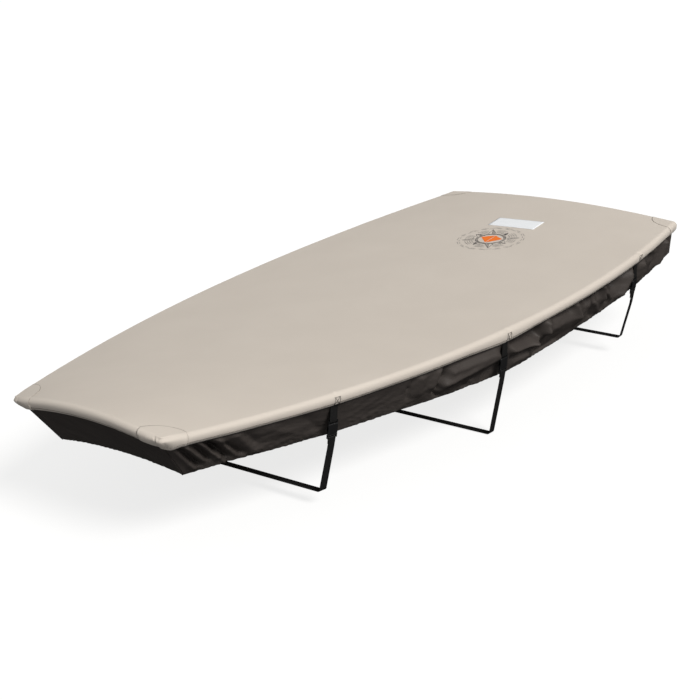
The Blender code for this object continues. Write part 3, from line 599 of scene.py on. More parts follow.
def buildTop():
    along, across = topColumns["along"], topColumns["across"]
    stops = edgeStops()
    degrees = (0, *topShape["rollDegrees"])
    mesh = bmesh.new()
    addGrid(mesh, len(along) - 1, len(across) - 1, lambda i, j: topSurface(along[i], across[j]),
            lambda i, j: (along[i], across[j] * flatHalf(along[i])))

    def rolledPoint(i, j):
        stop = stops[i % len(stops)]
        return rollSurface(stop, degrees[j], stop["run"])

    def clothSpot(i, j):
        stop = stops[i % len(stops)]
        return stop["place"] + stop["normal"] * (lines["rollRadius"] * math.radians(degrees[j]))

    addGrid(mesh, len(stops), len(degrees) - 1, rolledPoint, clothSpot, closed=True)
    finishSheet(mesh, Vector((0, 0, 1)))
    area = surfaceArea(mesh)
    item = thicken(newObject("canvas_top", mesh, [canvas]), cloth["top"], -1)
    openPiece(item, ["top_panel"])
    print("canvas top:", len(item.data.polygons), "faces, area", round(area, 3))


# the gathered skirt
skirtShape = {
    "hem": [  # x, depth under the gunwale's top, inset from the rolled edge
        (-1.17, 0.163, 0.065), (-1.02, 0.150, 0.057), (-0.45, 0.154, 0.065), (0.06, 0.176, 0.073),
        (0.50, 0.156, 0.069), (1.05, 0.152, 0.062), (1.13, 0.135, 0.046), (1.17, 0.105, 0.015)],
    "bowSetback": 0.120,
    "sternSetback": 0.024,
    "sternHollow": 0.016,
    "hemArch": 0.55,
    "underRoll": 0.003,
    "drop": 0.125,
    "rows": 30,
    "step": 0.0055,
    "hemPucker": 0.0036,
    "hemPitch": 0.023,
    "wrinkle": 0.0013,
    "foldGain": 1.8,
    "endFoldGain": 2.2,  # folds nearer an end than this x stand deeper
    "endFolds": 0.86,
    "foldShoulder": 1.45,
    "margin": (112, 131, 150),  # degrees round the roll at which it is sewn in
    "endLap": 0.010,  # a bow or stern panel reaches this far round the corner
    "lapInside": (1.7, 1.9, 2.2, 2.2, 2.2, 1.6, 0.8, 0.2),  # and lies inside by so many layers
    "hemStitch": 0.91,
}
# folds of the port skirt: from (x, share of the drop) to (x, share), half width at each end, rise
skirtFolds = [
    (-1.138, 0.10, -1.122, 0.85, 0.008, 0.009, 0.006),
    (-1.119, 0.00, -1.100, 0.75, 0.007, 0.009, -0.011),
    (-1.098, 0.08, -1.083, 0.70, 0.009, 0.010, 0.007),
    (-1.077, 0.00, -1.066, 0.66, 0.008, 0.013, -0.012),
    (-1.062, 0.05, -1.044, 0.75, 0.009, 0.010, 0.007),
    (-1.046, 0.00, -1.030, 0.40, 0.009, 0.013, -0.014),
    (-1.030, 0.40, -1.020, 0.75, 0.013, 0.011, -0.013),
    (-1.010, 0.10, -0.998, 0.80, 0.012, 0.012, 0.006),
    (-0.994, 0.36, -0.978, 0.76, 0.010, 0.011, -0.009),
    (-0.955, 0.15, -0.940, 0.85, 0.022, 0.022, 0.004),
    (-0.925, 0.25, -0.918, 0.55, 0.014, 0.014, -0.004),
    (-0.850, 0.30, -0.800, 0.60, 0.030, 0.030, 0.003),
    (-0.740, 0.20, -0.720, 0.70, 0.020, 0.020, -0.003),
    (-0.343, 0.00, -0.378, 0.36, 0.006, 0.006, -0.005),
    (-0.378, 0.36, -0.388, 0.66, 0.006, 0.007, -0.004),
    (-0.325, 0.15, -0.345, 0.60, 0.020, 0.022, 0.007),
    (-0.245, 0.05, -0.290, 0.55, 0.016, 0.018, 0.008),
    (-0.213, 0.00, -0.240, 0.30, 0.012, 0.010, -0.016),
    (-0.240, 0.30, -0.266, 0.62, 0.010, 0.010, -0.015),
    (-0.266, 0.62, -0.279, 0.75, 0.010, 0.009, -0.009),
    (-0.279, 0.78, -0.262, 0.94, 0.008, 0.008, -0.008),
    (-0.200, 0.32, -0.020, 0.22, 0.014, 0.016, 0.007),
    (-0.250, 0.62, -0.010, 0.36, 0.020, 0.028, 0.015),
    (-0.185, 0.05, -0.030, 0.03, 0.010, 0.012, -0.008),
    (-0.112, 0.80, -0.095, 0.80, 0.011, 0.012, -0.007),
    (-0.150, 0.92, -0.125, 0.97, 0.010, 0.010, -0.008),
    (-0.060, 0.80, -0.012, 0.62, 0.014, 0.016, -0.009),
    (0.072, 0.12, 0.205, 0.30, 0.012, 0.026, -0.018),
    (0.216, 0.05, 0.222, 0.40, 0.010, 0.010, -0.008),
    (0.078, 0.42, 0.190, 0.56, 0.014, 0.016, 0.012),
    (0.190, 0.56, 0.240, 0.36, 0.016, 0.014, 0.012),
    (0.240, 0.36, 0.262, 0.00, 0.014, 0.012, 0.014),
    (0.078, 0.62, 0.190, 0.72, 0.010, 0.010, -0.008),
    (0.100, 0.84, 0.200, 0.86, 0.012, 0.012, 0.004),
    (0.210, 0.90, 0.330, 0.88, 0.014, 0.014, -0.006),
    (0.305, 0.04, 0.400, 0.14, 0.014, 0.024, -0.014),
    (0.290, 0.42, 0.430, 0.50, 0.030, 0.034, 0.009),
    (0.425, 0.00, 0.440, 0.60, 0.014, 0.018, 0.010),
    (0.460, 0.05, 0.515, 0.22, 0.014, 0.024, -0.016),
    (0.527, 0.00, 0.522, 0.45, 0.011, 0.013, 0.010),
    (0.535, 0.50, 0.552, 0.85, 0.009, 0.010, -0.008),
    (0.556, 0.45, 0.588, 0.82, 0.009, 0.009, 0.008),
    (0.548, 0.05, 0.590, 0.22, 0.012, 0.020, -0.014),
    (0.607, 0.00, 0.618, 0.50, 0.011, 0.014, 0.011),
    (0.628, 0.38, 0.668, 0.75, 0.008, 0.009, -0.007),
    (0.650, 0.45, 0.690, 0.72, 0.010, 0.010, 0.006),
    (0.640, 0.05, 0.720, 0.35, 0.014, 0.030, -0.018),
    (0.720, 0.25, 0.785, 0.08, 0.022, 0.014, -0.014),
    (0.755, 0.80, 0.813, 0.15, 0.016, 0.014, 0.015),
    (0.880, 0.05, 0.960, 0.06, 0.014, 0.014, -0.008),
    (0.897, 0.25, 0.905, 0.70, 0.024, 0.026, 0.010),
    (0.985, 0.30, 0.955, 0.85, 0.014, 0.014, -0.009),
    (1.010, 0.10, 1.000, 0.45, 0.020, 0.020, 0.004),
    (1.045, 0.10, 1.030, 0.60, 0.012, 0.012, -0.005),
    (1.095, 0.10, 1.072, 0.78, 0.012, 0.013, 0.011),
    (1.122, 0.38, 1.118, 0.55, 0.012, 0.012, -0.009),
    (1.125, 0.64, 1.146, 0.82, 0.008, 0.008, 0.008),
]


def linearRows(rows, x, column):
    for (x0, *low), (x1, *high) in zip(rows, rows[1:]):
        if x <= x1:
            return mix(low[column], high[column], max(0.0, (x - x0) / (x1 - x0)))
    return rows[-1][1 + column]


def hemPlace(x, across):
    share = (x + flatHalfLength) / (2 * flatHalfLength)
    half = halfBeam(x) - linearRows(skirtShape["hem"], x, 1)
    arch = 1 - across * across
    sternX = lines["length"] / 2 - skirtShape["sternSetback"] - skirtShape["sternHollow"] * arch
    hemX = mix(-lines["length"] / 2 + skirtShape["bowSetback"], sternX, share)
    height = sheer(x) + skirtShape["hemArch"] * crown(x) * arch - linearRows(skirtShape["hem"], x, 0)
    return Vector((hemX, half * across, height))


def strapNearness(x, reach):
    beside = min(abs(x - strap["x"]) for strap in straps) - 0.015
    return 1 - smooth(beside / reach)


def foldRise(x, v):
    total = 0.0
    spot = Vector((x, v * skirtShape["drop"]))
    for x0, v0, x1, v1, wide0, wide1, rise in skirtFolds:
        if not min(x0, x1) - 0.11 < x < max(x0, x1) + 0.11:
            continue
        start = Vector((x0, v0 * skirtShape["drop"]))
        run = Vector((x1, v1 * skirtShape["drop"])) - start
        share = min(1.0, max(0.0, (spot - start).dot(run) / run.length_squared))
        width = mix(wide0, wide1, share)
        away = (spot - start - run * share).length / width
        gain = skirtShape["endFoldGain"] if abs(x0) > skirtShape["endFolds"] else skirtShape["foldGain"]
        total += rise * gain * math.exp(-(away ** skirtShape["foldShoulder"]))
    return total * (1 - 0.75 * smooth((v - 0.9) / 0.1)) * smooth((v - 0.02) / 0.14)


def hemPucker(run, v, bow):
    fade = smooth((v - 0.66 + 0.16 * bow) / (0.34 + 0.16 * bow))
    phase = run / skirtShape["hemPitch"] + 1.1 * wander(run * 11, 0.0, 4.0)
    wave = math.sin(2 * math.pi * phase) * max(0.0, 0.55 + 1.5 * wander(run * 7, 2.0, 8.0) + 0.5 * bow)
    fine = 0.4 * wander(run * 95, v * 1.5, 14.0)
    return skirtShape["hemPucker"] * (0.42 + bow) * fade * (wave + fine)


def sideRise(stop, v, run, softness, shift):
    x = stop["x"] - shift
    calm = smooth((flatHalfLength - 0.010 - abs(stop["x"])) / 0.035)
    free = 1 - strapNearness(stop["x"], 0.030)
    bow = 1 - smooth((stop["x"] + flatHalfLength) / 0.30)
    wrinkle = wander(x * 26 + v * 5, v * 5.5, 21.0) + 0.5 * wander(x * 60 - v * 9, v * 11, 22.0)
    wrinkle *= skirtShape["wrinkle"] * smooth(v / 0.15) * (1 + 1.2 * v)
    folds = free * softness * foldRise(x, v)
    return calm * (folds + hemPucker(run, v, bow) + wrinkle * (0.4 + 0.6 * free))


def endRise(stop, v, run):
    calm = smooth((1 - abs(stop["across"])) / 0.12)
    lean = stop["place"].y * 24 + v * 3
    waves = wander(lean, v * 2.2, 31.0) + 0.4 * wander(lean * 2.6, v * 6, 33.0)
    return calm * (hemPucker(run, v, 0.0) + 1.8 * skirtShape["wrinkle"] * smooth(v / 0.2) * waves)


def skirtStops(side):
    # a side panel ends at the corners; a bow or stern panel laps inside the side panels there
    if side in ("port", "starboard"):
        sign = -1 if side == "port" else 1
        count = round(2 * flatHalfLength / skirtShape["step"])
        columns = spread(-flatHalfLength, flatHalfLength, count)[1:-1]
        stops = cornerStops(-1, sign, 0.5, 3)[::-1]
        stops += [stopAt(x, sign, sideNormal(x, sign), side) for x in columns]
        return stops + cornerStops(1, sign, 0.5, 3)
    end = -1 if side == "bow" else 1
    edge = end * flatHalfLength
    laps = []
    for sign in (-1, 1):
        x = end * (flatHalfLength - skirtShape["endLap"])
        lap = [stopAt(x, sign, sideNormal(x, sign), "corner")] + cornerStops(end, sign, 1.0, 6)
        for stop, inside in zip(lap, skirtShape["lapInside"]):
            stop["inside"] = inside * (cloth["skirt"] + cloth["seamGap"])
        laps.append(lap)
    count = round(2 * flatHalf(edge) / skirtShape["step"])
    middle = [stopAt(edge, across, (end, 0), side) for across in spread(-1.0, 1.0, count)[1:-1]]
    return laps[0] + middle + laps[1][::-1]


def webbingTuck(stop):
    # room for the webbing that is sewn into the same seam
    if stop["side"] not in ("port", "starboard"):
        return 0.0
    return (cloth["webbing"] + cloth["seamGap"]) * strapNearness(stop["x"], 0.012)


def skirtSurface(stop, v, riseAt, lift=0.0):
    start = rollPoint(stop, lines["seamDegrees"], marginDepth + webbingTuck(stop))
    start = start - outwards(stop, skirtShape["underRoll"])
    point = start.lerp(hemPlace(stop["x"], stop["across"]), v) + outwards(stop, riseAt(stop, v) + lift)
    point.y -= math.copysign(stop["inside"], stop["across"])
    return point


def buildSkirt(side, riseAt):
    stops = skirtStops(side)
    addRuns(stops)
    margin, rows = skirtShape["margin"], skirtShape["rows"]
    depths = [mix(0.02, 1.0, (k / rows) ** 0.92) for k in range(rows + 1)]

    def skirtPoint(i, j):
        stop = stops[i]
        if j < len(margin):
            return rollPoint(stop, margin[j], marginDepth + webbingTuck(stop) + stop["inside"])
        return skirtSurface(stop, depths[j - len(margin)], riseAt)

    def clothSpot(i, j):
        drop = -0.03 + 0.012 * j if j < len(margin) else depths[j - len(margin)] * skirtShape["drop"]
        return (stops[i]["run"], drop)

    mesh = bmesh.new()
    addGrid(mesh, len(stops) - 1, len(margin) + len(depths) - 1, skirtPoint, clothSpot)
    finishSheet(mesh, Vector((*stops[len(stops) // 2]["normal"], 0.0)))
    area = surfaceArea(mesh)
    item = thicken(newObject("skirt_cloth_" + side, mesh, [nylon]), cloth["skirt"], -1)
    openPiece(item, ["skirt_" + side])
    print("skirt", side, len(item.data.polygons), "faces, area", round(area, 4))


# how each panel's folds stand out, and its flat size
skirtPanels = {
    "port": (lambda stop, v: sideRise(stop, v, stop["run"], 1.0, 0.0), (0.24, 2.60)),
    "starboard": (lambda stop, v: sideRise(stop, v, stop["run"] + 0.3, 0.8, 0.021), (0.24, 2.60)),
    "bow": (lambda stop, v: endRise(stop, v, stop["run"] + 0.7), (0.24, 0.70)),
    "stern": (lambda stop, v: endRise(stop, v, stop["run"] + 1.9), (0.24, 1.05)),
}


# corner patches
patchShape = {
    "cells": 28,
    "flat": (0.16, 0.18),
    "grooveDepth": 0.0042,
    "lapHeight": 0.0009,
    "knotHeight": 0.0004,
    "rim": 0.988,  # the stitching runs just inside the edge
    "dart": {(-1, -1): 1.0},  # full beside the port bow corner
    "otherDarts": 0.4,
    "dartTop": 0.015,
    "dartFoot": 0.003,
    "reach": {  # along the side and across the end
        (-1, -1): (0.067, 0.080),
        (-1, 1): (0.102, 0.074),
        (1, -1): (0.057, 0.077),
        (1, 1): (0.057, 0.077),
    },
}


def patchStop(lengthwise, sideways, u, v):
    # u and v run over a square; its far sides are bent into a quarter round
    alongReach, acrossReach = patchShape["reach"][lengthwise, sideways]
    inX = alongReach * u * math.sqrt(1 - v * v / 2)
    inY = acrossReach * v * math.sqrt(1 - u * u / 2)
    x = lengthwise * (flatHalfLength - inX)
    return x, sideways * (1 - inY / flatHalf(x))


def buildPatch(name, lengthwise, sideways):
    cells = patchShape["cells"]
    shares = [(k / cells) ** 1.5 for k in range(cells + 1)]
    degrees = (0, *topShape["rollDegrees"])
    lift = cloth["patchGap"]
    mesh = bmesh.new()

    def flatPoint(i, j):
        x, across = patchStop(lengthwise, sideways, shares[i], shares[j])
        return topSurface(x, across) + Vector((0, 0, lift))

    addGrid(mesh, cells, cells, flatPoint, lambda i, j: flatPoint(i, j).xy)
    side = "port" if sideways < 0 else "starboard"
    stops = []
    for k in range(cells, 0, -1):
        x, across = patchStop(lengthwise, sideways, shares[k], 0.0)
        stops.append(stopAt(x, across, sideNormal(x, sideways), side))
    stops += cornerStops(lengthwise, sideways, 1.0, topShape["cornerTurns"])
    for k in range(1, cells + 1):
        x, across = patchStop(lengthwise, sideways, 0.0, shares[k])
        stops.append(stopAt(x, across, (lengthwise, 0), "end"))
    run = addRuns(stops)
    cornerRun = stops[len(stops) - cells - 1]["run"]

    def rolledPoint(i, j):
        stop = stops[i]
        angle = degrees[j]
        # a dart beside the corner takes up its fullness: the side's cloth laps over a groove
        share = smooth((angle - 20) / 125)
        away = stop["run"] - cornerRun - mix(patchShape["dartTop"], patchShape["dartFoot"], share)
        groove = -patchShape["grooveDepth"] * bell(away - 0.0010, 0.0024)
        groove += patchShape["lapHeight"] * bell(away + 0.0040, 0.0036)
        reach = patchShape["dart"].get((lengthwise, sideways), patchShape["otherDarts"])
        reach *= smooth((angle - 25) / 25)
        knot = patchShape["knotHeight"] * bell(away + 0.003, 0.004) * bell(angle - 42, 14)
        return rollSurface(stop, angle, run - stop["run"], lift + (groove + knot) * reach)

    def clothSpot(i, j):
        return stops[i]["place"] + stops[i]["normal"] * (lines["rollRadius"] * math.radians(degrees[j]))

    addGrid(mesh, len(stops) - 1, len(degrees) - 1, rolledPoint, clothSpot)
    finishSheet(mesh, Vector((0, 0, 1)))
    area = surfaceArea(mesh)
    item = thicken(newObject(name + "_cloth", mesh, [canvas]), cloth["patch"], 1)
    openPiece(item, [name])
    # the stitching follows the edge over the top and down the roll at both ends
    edge = []
    for j in range(len(degrees) - 1, 0, -1):
        edge.append(rolledPoint(0, j) + outwards(stops[0], cloth["patch"]))
    rim = patchShape["rim"]
    ring = [(rim, v * rim) for v in spread(0.0, 1.0, 14)]
    ring += [(u * rim, rim) for u in spread(1.0, 0.0, 14)[1:]]
    for u, v in ring:
        x, across = patchStop(lengthwise, sideways, u, v)
        edge.append(topSurface(x, across) + Vector((0, 0, lift + cloth["patch"])))
    for j in range(1, len(degrees)):
        edge.append(rolledPoint(len(stops) - 1, j) + outwards(stops[-1], cloth["patch"]))
    return edge


# webbing
webShape = {
    "width": 0.025,
    "loopRadius": 0.0031,
    "chineRadius": 0.008,
    "buckleDrop": 0.093,
    "barSpacing": 0.0515,
    "stationGap": 0.055,
    "tabTail": 0.026,
    "strapTail": 0.020,
}


def strapEnd(strap, side):
    x = strap["x"]
    # the edge as its two stations beside the strap have it
    gap, width = webShape["stationGap"], webShape["width"]
    half, height, stretch = ((at(x - gap) + at(x + gap)) / 2 for at in (flatHalf, sheer, stretchAt))
    slope = (flatHalf(x + width / 2) - flatHalf(x - width / 2)) / width
    tangent = Vector((1.0, side * slope, 0.0)).normalized()
    stop = {"place": Vector((x, side * half)), "normal": Vector((-side * tangent.y, side * tangent.x)),
            "height": height, "stretch": stretch, "shift": Vector((0, 0, 0))}
    depth = marginDepth + cloth["webbing"] / 2
    inside = [rollPoint(stop, angle, depth) for angle in (108, 130, lines["seamDegrees"])]
    leaves = inside[-1] - outwards(stop, skirtShape["underRoll"], 0.0035)
    bears = Vector((x, side * strap["bear"][0], -strap["bear"][1]))
    chine = Vector((x, side * strap["chine"][0], -strap["chine"][1]))
    line = (bears - leaves).normalized()
    across = (tangent - line * tangent.dot(line)).normalized()
    return {"inside": inside, "leaves": leaves, "bears": bears, "chine": chine, "line": line,
            "tangent": tangent, "across": across, "height": height}


def loopRound(bar, towards, outward, tail):
    points = []
    for degrees in range(0, 181, 15):
        angle = math.radians(degrees)
        spoke = outward * math.cos(angle) + towards * math.sin(angle)
        points.append(bar + spoke * webShape["loopRadius"])
    eased = outward * (webShape["loopRadius"] - cloth["webbing"] / 2 - cloth["seamGap"] / 2)
    points.append(points[-1] + eased - towards * tail * 0.4)
    points.append(points[-1] - towards * tail * 0.6)
    return points


def chineBend(chine, before, after):
    start, end = chine - before * webShape["chineRadius"], chine + after * webShape["chineRadius"]
    points = []
    for t in spread(0.0, 1.0, 6):
        points.append(start.lerp(chine, t).lerp(chine.lerp(end, t), t))
    return points


def webbingBand(name, centres, widths, node):
    # a flat band with softly rounded selvedges: seven lines across, thinner at the outer two
    run, runs = 0.0, []
    for before, centre in zip([centres[0]] + centres, centres):
        run += (centre - before).length
        runs.append(run)
    shares = (-1.0, -0.9, -0.45, 0.0, 0.45, 0.9, 1.0)
    thick = (0.45, 1.0, 1.0, 1.0, 1.0, 1.0, 0.45)
    half = webShape["width"] / 2
    normals = []
    for i, centre in enumerate(centres):
        ahead = centres[min(i + 1, len(centres) - 1)] - centres[max(i - 1, 0)]
        normals.append(widths[i].cross(ahead).normalized())
    # across the band on its outer side, then back on its inner side
    outer = list(zip(shares, thick))
    ring = outer + [(s, -t) for s, t in outer[::-1]]

    def pointAt(i, j):
        s, t = ring[j % len(ring)]
        return centres[i] + widths[i] * (half * s) + normals[i] * (t * cloth["webbing"] / 2)

    mesh = bmesh.new()
    layer = mesh.loops.layers.uv.verify()
    rows = [[mesh.verts.new(pointAt(i, j)) for j in range(len(ring))] for i in range(len(centres))]
    for i in range(len(centres) - 1):
        for j in range(len(ring)):
            k = (j + 1) % len(ring)
            face = mesh.faces.new((rows[i][j], rows[i + 1][j], rows[i + 1][k], rows[i][k]))
            for loop, (a, b) in zip(face.loops, ((i, j), (i + 1, j), (i + 1, k), (i, k))):
                loop[layer].uv = (runs[a], ring[b][0] * half)
    for row in (rows[0], rows[-1]):
        mesh.faces.new(row)
    bmesh.ops.recalc_face_normals(mesh, faces=mesh.faces)
    item = newObject(name, mesh, [webbing])
    item.data.set_sharp_from_angle(angle=math.radians(50))
    openPiece(item, [node])


def refine(centres, widths, longest=0.012):
    # more stations along straight runs, so that the weave and the light follow the band
    points, sides = [centres[0]], [widths[0]]
    for a, b, wa, wb in zip(centres, centres[1:], widths, widths[1:]):
        count = max(1, math.ceil((b - a).length / longest))
        for k in range(1, count + 1):
            points.append(a.lerp(b, k / count))
            sides.append(wa.lerp(wb, k / count).normalized())
    return points, sides


def buildStraps():
    for number, strap in enumerate(straps, 1):
        near, far = strapEnd(strap, -1), strapEnd(strap, 1)
        line, across = near["line"], near["across"]
        outward = line.cross(across)
        barHeight = near["height"] - webShape["buckleDrop"]
        upper = near["leaves"] + line * ((near["leaves"].z - barHeight) / -line.z)
        lower = upper + line * webShape["barSpacing"]
        loop = loopRound(upper, line, outward, webShape["tabTail"])
        tab = near["inside"] + [near["leaves"]] + loop
        widths = [near["tangent"]] * len(near["inside"]) + [across] * (1 + len(loop))
        webbingBand(f"webbing_tab_{number}", *refine(tab, widths), f"strap_tab_{number}")
        centres = loopRound(lower, -line, outward, webShape["strapTail"])[::-1] + [near["bears"]]
        widths = [across] * len(centres)
        down = (near["chine"] - near["bears"]).normalized()
        up = (far["bears"] - far["chine"]).normalized()
        starboard, aft = Vector((0, 1, 0)), Vector((1, 0, 0))
        bends = chineBend(near["chine"], down, starboard)
        bends.append(near["chine"].lerp(far["chine"], 0.5))
        bends += chineBend(far["chine"], starboard, up)
        centres += bends
        # the band keeps lying flat on the flared side until it has rounded the chine
        lying = Vector((1.0, -strap["turn"], 0.0))
        lying = (lying - down * lying.dot(down)).normalized()
        rounding = spread(0.0, 1.0, 6)
        widths += [lying.lerp(aft, smooth(t)).normalized() for t in rounding]
        widths += [aft] * (len(bends) - len(rounding))
        centres += [far["bears"], far["leaves"]] + far["inside"][::-1]
        widths += [far["across"], far["across"]] + [far["tangent"]] * len(far["inside"])
        webbingBand(f"webbing_strap_{number}", *refine(centres, widths), f"strap_{number}")
        for part in ("socket", "plug"):
            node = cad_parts[f"buckle_{part}_{number}"]
            node.data.materials.clear()
            node.data.materials.append(plastic)
    print("straps:", len(straps))


# name patch
nameShape = {
    "x": 0.875, "y": -0.015, "width": 0.182, "height": 0.083, "turn": 6.5,
    "thick": 0.0008,
    "lift": (0.0005, 0.0004, 0.0002),  # at its edge, more inside it, and unevenness
    "stitchRim": (0.95, 0.90),
    "stitchLift": 0.0016,
}


def onTop(x, y, lift):
    across = y / flatHalf(x)
    point = topSurface(x, across)
    return Vector((x, y, point.z + lift))


def labelSpot(u, v, lift):
    turn = math.radians(nameShape["turn"])
    across, along = u * nameShape["width"] / 2, v * nameShape["height"] / 2
    x = nameShape["x"] + along * math.cos(turn) - across * math.sin(turn)
    y = nameShape["y"] + along * math.sin(turn) + across * math.cos(turn)
    return onTop(x, y, lift)


def buildNamePatch():
    columns, rows = 26, 14
    mesh = bmesh.new()

    def patchPoint(i, j):
        u, v = 2 * i / columns - 1, 2 * j / rows - 1
        rim = min(1 - abs(u), 1 - abs(v))
        atEdge, within, uneven = nameShape["lift"]
        lift = atEdge + within * smooth(rim / 0.12) + uneven * wander(u * 5, v * 4, 40.0)
        return labelSpot(u, v, lift)

    addGrid(mesh, columns, rows, patchPoint,
            lambda i, j: (i * nameShape["width"] / columns, j * nameShape["height"] / rows))
    finishSheet(mesh, Vector((0, 0, 1)))
    item = thicken(newObject("name_patch_cloth", mesh, [labelCloth]), nameShape["thick"], 1)
    openPiece(item, ["name_patch"])
    wide, tall = nameShape["stitchRim"]
    corners = [(-wide, -tall), (wide, -tall), (wide, tall), (-wide, tall), (-wide, -tall)]
    edge = []
    for (u0, v0), (u1, v1) in zip(corners, corners[1:]):
        for t in spread(0.0, 1.0, 12)[(1 if edge else 0):]:
            edge.append(labelSpot(mix(u0, u1, t), mix(v0, v1, t), nameShape["stitchLift"]))
    return edge


# stitches, laid along lines by geometry nodes
def stitchTree(name):
    tree = bpy.data.node_groups.new(name, "GeometryNodeTree")
    face = tree.interface
    face.new_socket("Geometry", in_out="INPUT", socket_type="NodeSocketGeometry")
    for label, value in (("pitch", 0.004), ("threadRadius", 0.0004), ("stitchLength", 0.0028)):
        socket = face.new_socket(label, in_out="INPUT", socket_type="NodeSocketFloat")
        socket.default_value = value
    face.new_socket("thread", in_out="INPUT", socket_type="NodeSocketMaterial")
    face.new_socket("Geometry", in_out="OUTPUT", socket_type="NodeSocketGeometry")
    graph = Graph(tree)
    into = tree.nodes.new("NodeGroupInput").outputs
    given = {socket.name: Port(graph, socket) for socket in into if socket.name}
    curve = graph.add("GeometryNodeMeshToCurve", {}, {"Mesh": given["Geometry"]})
    spots = graph.add("GeometryNodeResampleCurve", {"mode": "LENGTH"}, {
        "Curve": curve, "Length": given["pitch"]})
    turn = graph.add("FunctionNodeAlignRotationToVector", {"axis": "Z"},
                     {"Vector": graph.add("GeometryNodeInputTangent")})
    bead = graph.add("GeometryNodeMeshUVSphere", {}, {"Segments": 6, "Rings": 5, "Radius": 1.0})
    size = graph.add("ShaderNodeCombineXYZ", {}, {
        "X": given["threadRadius"], "Y": given["threadRadius"], "Z": given["stitchLength"] * 0.5})
    sewn = graph.add("GeometryNodeInstanceOnPoints", {}, {
        "Points": spots, "Instance": bead, "Rotation": turn, "Scale": size})
    sewn = graph.add("GeometryNodeRealizeInstances", {}, {"Geometry": sewn})
    sewn = graph.add("GeometryNodeSetShadeSmooth", {}, {"Geometry": sewn})
    sewn = graph.add("GeometryNodeSetMaterial", {}, {"Geometry": sewn, "Material": given["thread"]})
    graph.add("NodeGroupOutput", {}, {"Geometry": sewn})
    return tree


stitchNodes = stitchTree("stitchRow")


def sewRows(name, rows, thread, pitch, length, radius, slotName):
    data = bpy.data.meshes.new(name)
    vertices, edges = [], []
    for row in rows:
        first = len(vertices)
        vertices += [tuple(point) for point in row]
        edges += [(first + k, first + k + 1) for k in range(len(row) - 1)]
    data.from_pydata(vertices, edges, [])
    item = bpy.data.objects.new(name, data)
    bpy.context.scene.collection.objects.link(item)
    modifier = item.modifiers.new("stitches", "NODES")
    modifier.node_group = stitchNodes
    wanted = {"pitch": pitch, "threadRadius": radius, "stitchLength": length, "thread": thread}
    for socket in stitchNodes.interface.items_tree:
        if socket.in_out == "INPUT" and socket.name in wanted:
            modifier[socket.identifier] = wanted[socket.name]
    bake(item)
    if not item.data.materials:
        item.data.materials.append(thread)
    openPiece(item)
    print("stitches", name, len(item.data.polygons), "faces")


def seamRow(degrees, lift):
    row = [rollSurface(stop, degrees, stop["run"]) + outwards(stop, lift) for stop in edgeStops()]
    return row + [row[0]]


boxShape = {"aft": 0.002, "degrees": (80, 142), "halfWidth": 0.0085, "lift": 0.0004}


def boxStitch(x, side):
    # a sewn square with a cross in it, on the roll where a strap's end is caught
    def spot(s, t):
        px = x + boxShape["aft"] + s * boxShape["halfWidth"]
        stop = stopAt(px, side, sideNormal(px, side), "port")
        degrees = mix(*boxShape["degrees"], (t + 1) / 2)
        return rollSurface(stop, degrees, 0.0) + outwards(stop, boxShape["lift"])

    c = [(-1, -1), (1, -1), (1, 1), (-1, 1)]
    strokes = [(c[0], c[1]), (c[1], c[2]), (c[2], c[3]), (c[3], c[0]), (c[0], c[2]), (c[1], c[3])]
    steps = spread(0.0, 1.0, 8)
    return [[spot(mix(a[0], b[0], t), mix(a[1], b[1], t)) for t in steps] for a, b in strokes]


def hemRow(side, riseAt):
    stops = skirtStops(side)
    addRuns(stops)
    return [skirtSurface(stop, skirtShape["hemStitch"], riseAt, 0.0002) for stop in stops]


# printed ornament: a plain compass rose between ripples
ornament = {
    "x": 0.700, "y": -0.030, "turn": 8.0, "line": 0.0017, "lift": 0.00035,
    "rope": (0.046, 0.0075, 40),
    "tips": (0.080, 0.100),
    "point": (0.057, 0.0135, 7),
    "ripples": (0.0665, 0.0745, 0.0825, 0.0905),
    "dashes": ((0.110, 15.0), (0.117, 22.5)),
    "kite": [  # the heart of the rose, in two halves with bare canvas between them
        ([(-0.041, 0.008), (-0.021, -0.017), (-0.0013, -0.040)],
         [(-0.041, 0.008), (-0.021, 0.022), (-0.0013, 0.036)]),
        ([(0.0013, -0.040), (0.022, -0.014), (0.042, 0.010)],
         [(0.0013, 0.036), (0.022, 0.023), (0.042, 0.010)]),
    ],
}


def printSpot(u, v):
    # u runs to starboard and v aft, about the ornament's middle
    turn = math.radians(ornament["turn"])
    x = ornament["x"] + v * math.cos(turn) - u * math.sin(turn)
    y = ornament["y"] + v * math.sin(turn) + u * math.cos(turn)
    return x, y


def printPieces(name, shapes, material, lift):
    # each shape is filled between its left and right lines
    mesh = bmesh.new()
    for left, right in shapes:
        rows = []
        for a, b in zip(left, right):
            rows.append([mesh.verts.new(onTop(*printSpot(*p), lift)) for p in (a, b)])
        for (a0, b0), (a1, b1) in zip(rows, rows[1:]):
            mesh.faces.new((a0, a1, b1, b0))
    mesh.normal_update()
    for face in mesh.faces:
        if face.normal.z < 0:
            face.normal_flip()
    item = newObject(name, mesh, [material])
    openPiece(item)
    print("print", name, len(item.data.polygons), "faces")
    return item


def inkLine(points, width, taper=0.0):
    left, right = [], []
    for i, (u, v) in enumerate(points):
        u0, v0 = points[max(0, i - 1)]
        u1, v1 = points[min(len(points) - 1, i + 1)]
        length = math.hypot(u1 - u0, v1 - v0) or 1.0
        nu, nv = -(v1 - v0) / length, (u1 - u0) / length
        t = i / (len(points) - 1)
        half = width / 2 * (1 - taper * abs(2 * t - 1) ** 2)
        left.append((u + nu * half, v + nv * half))
        right.append((u - nu * half, v - nv * half))
    return left, right


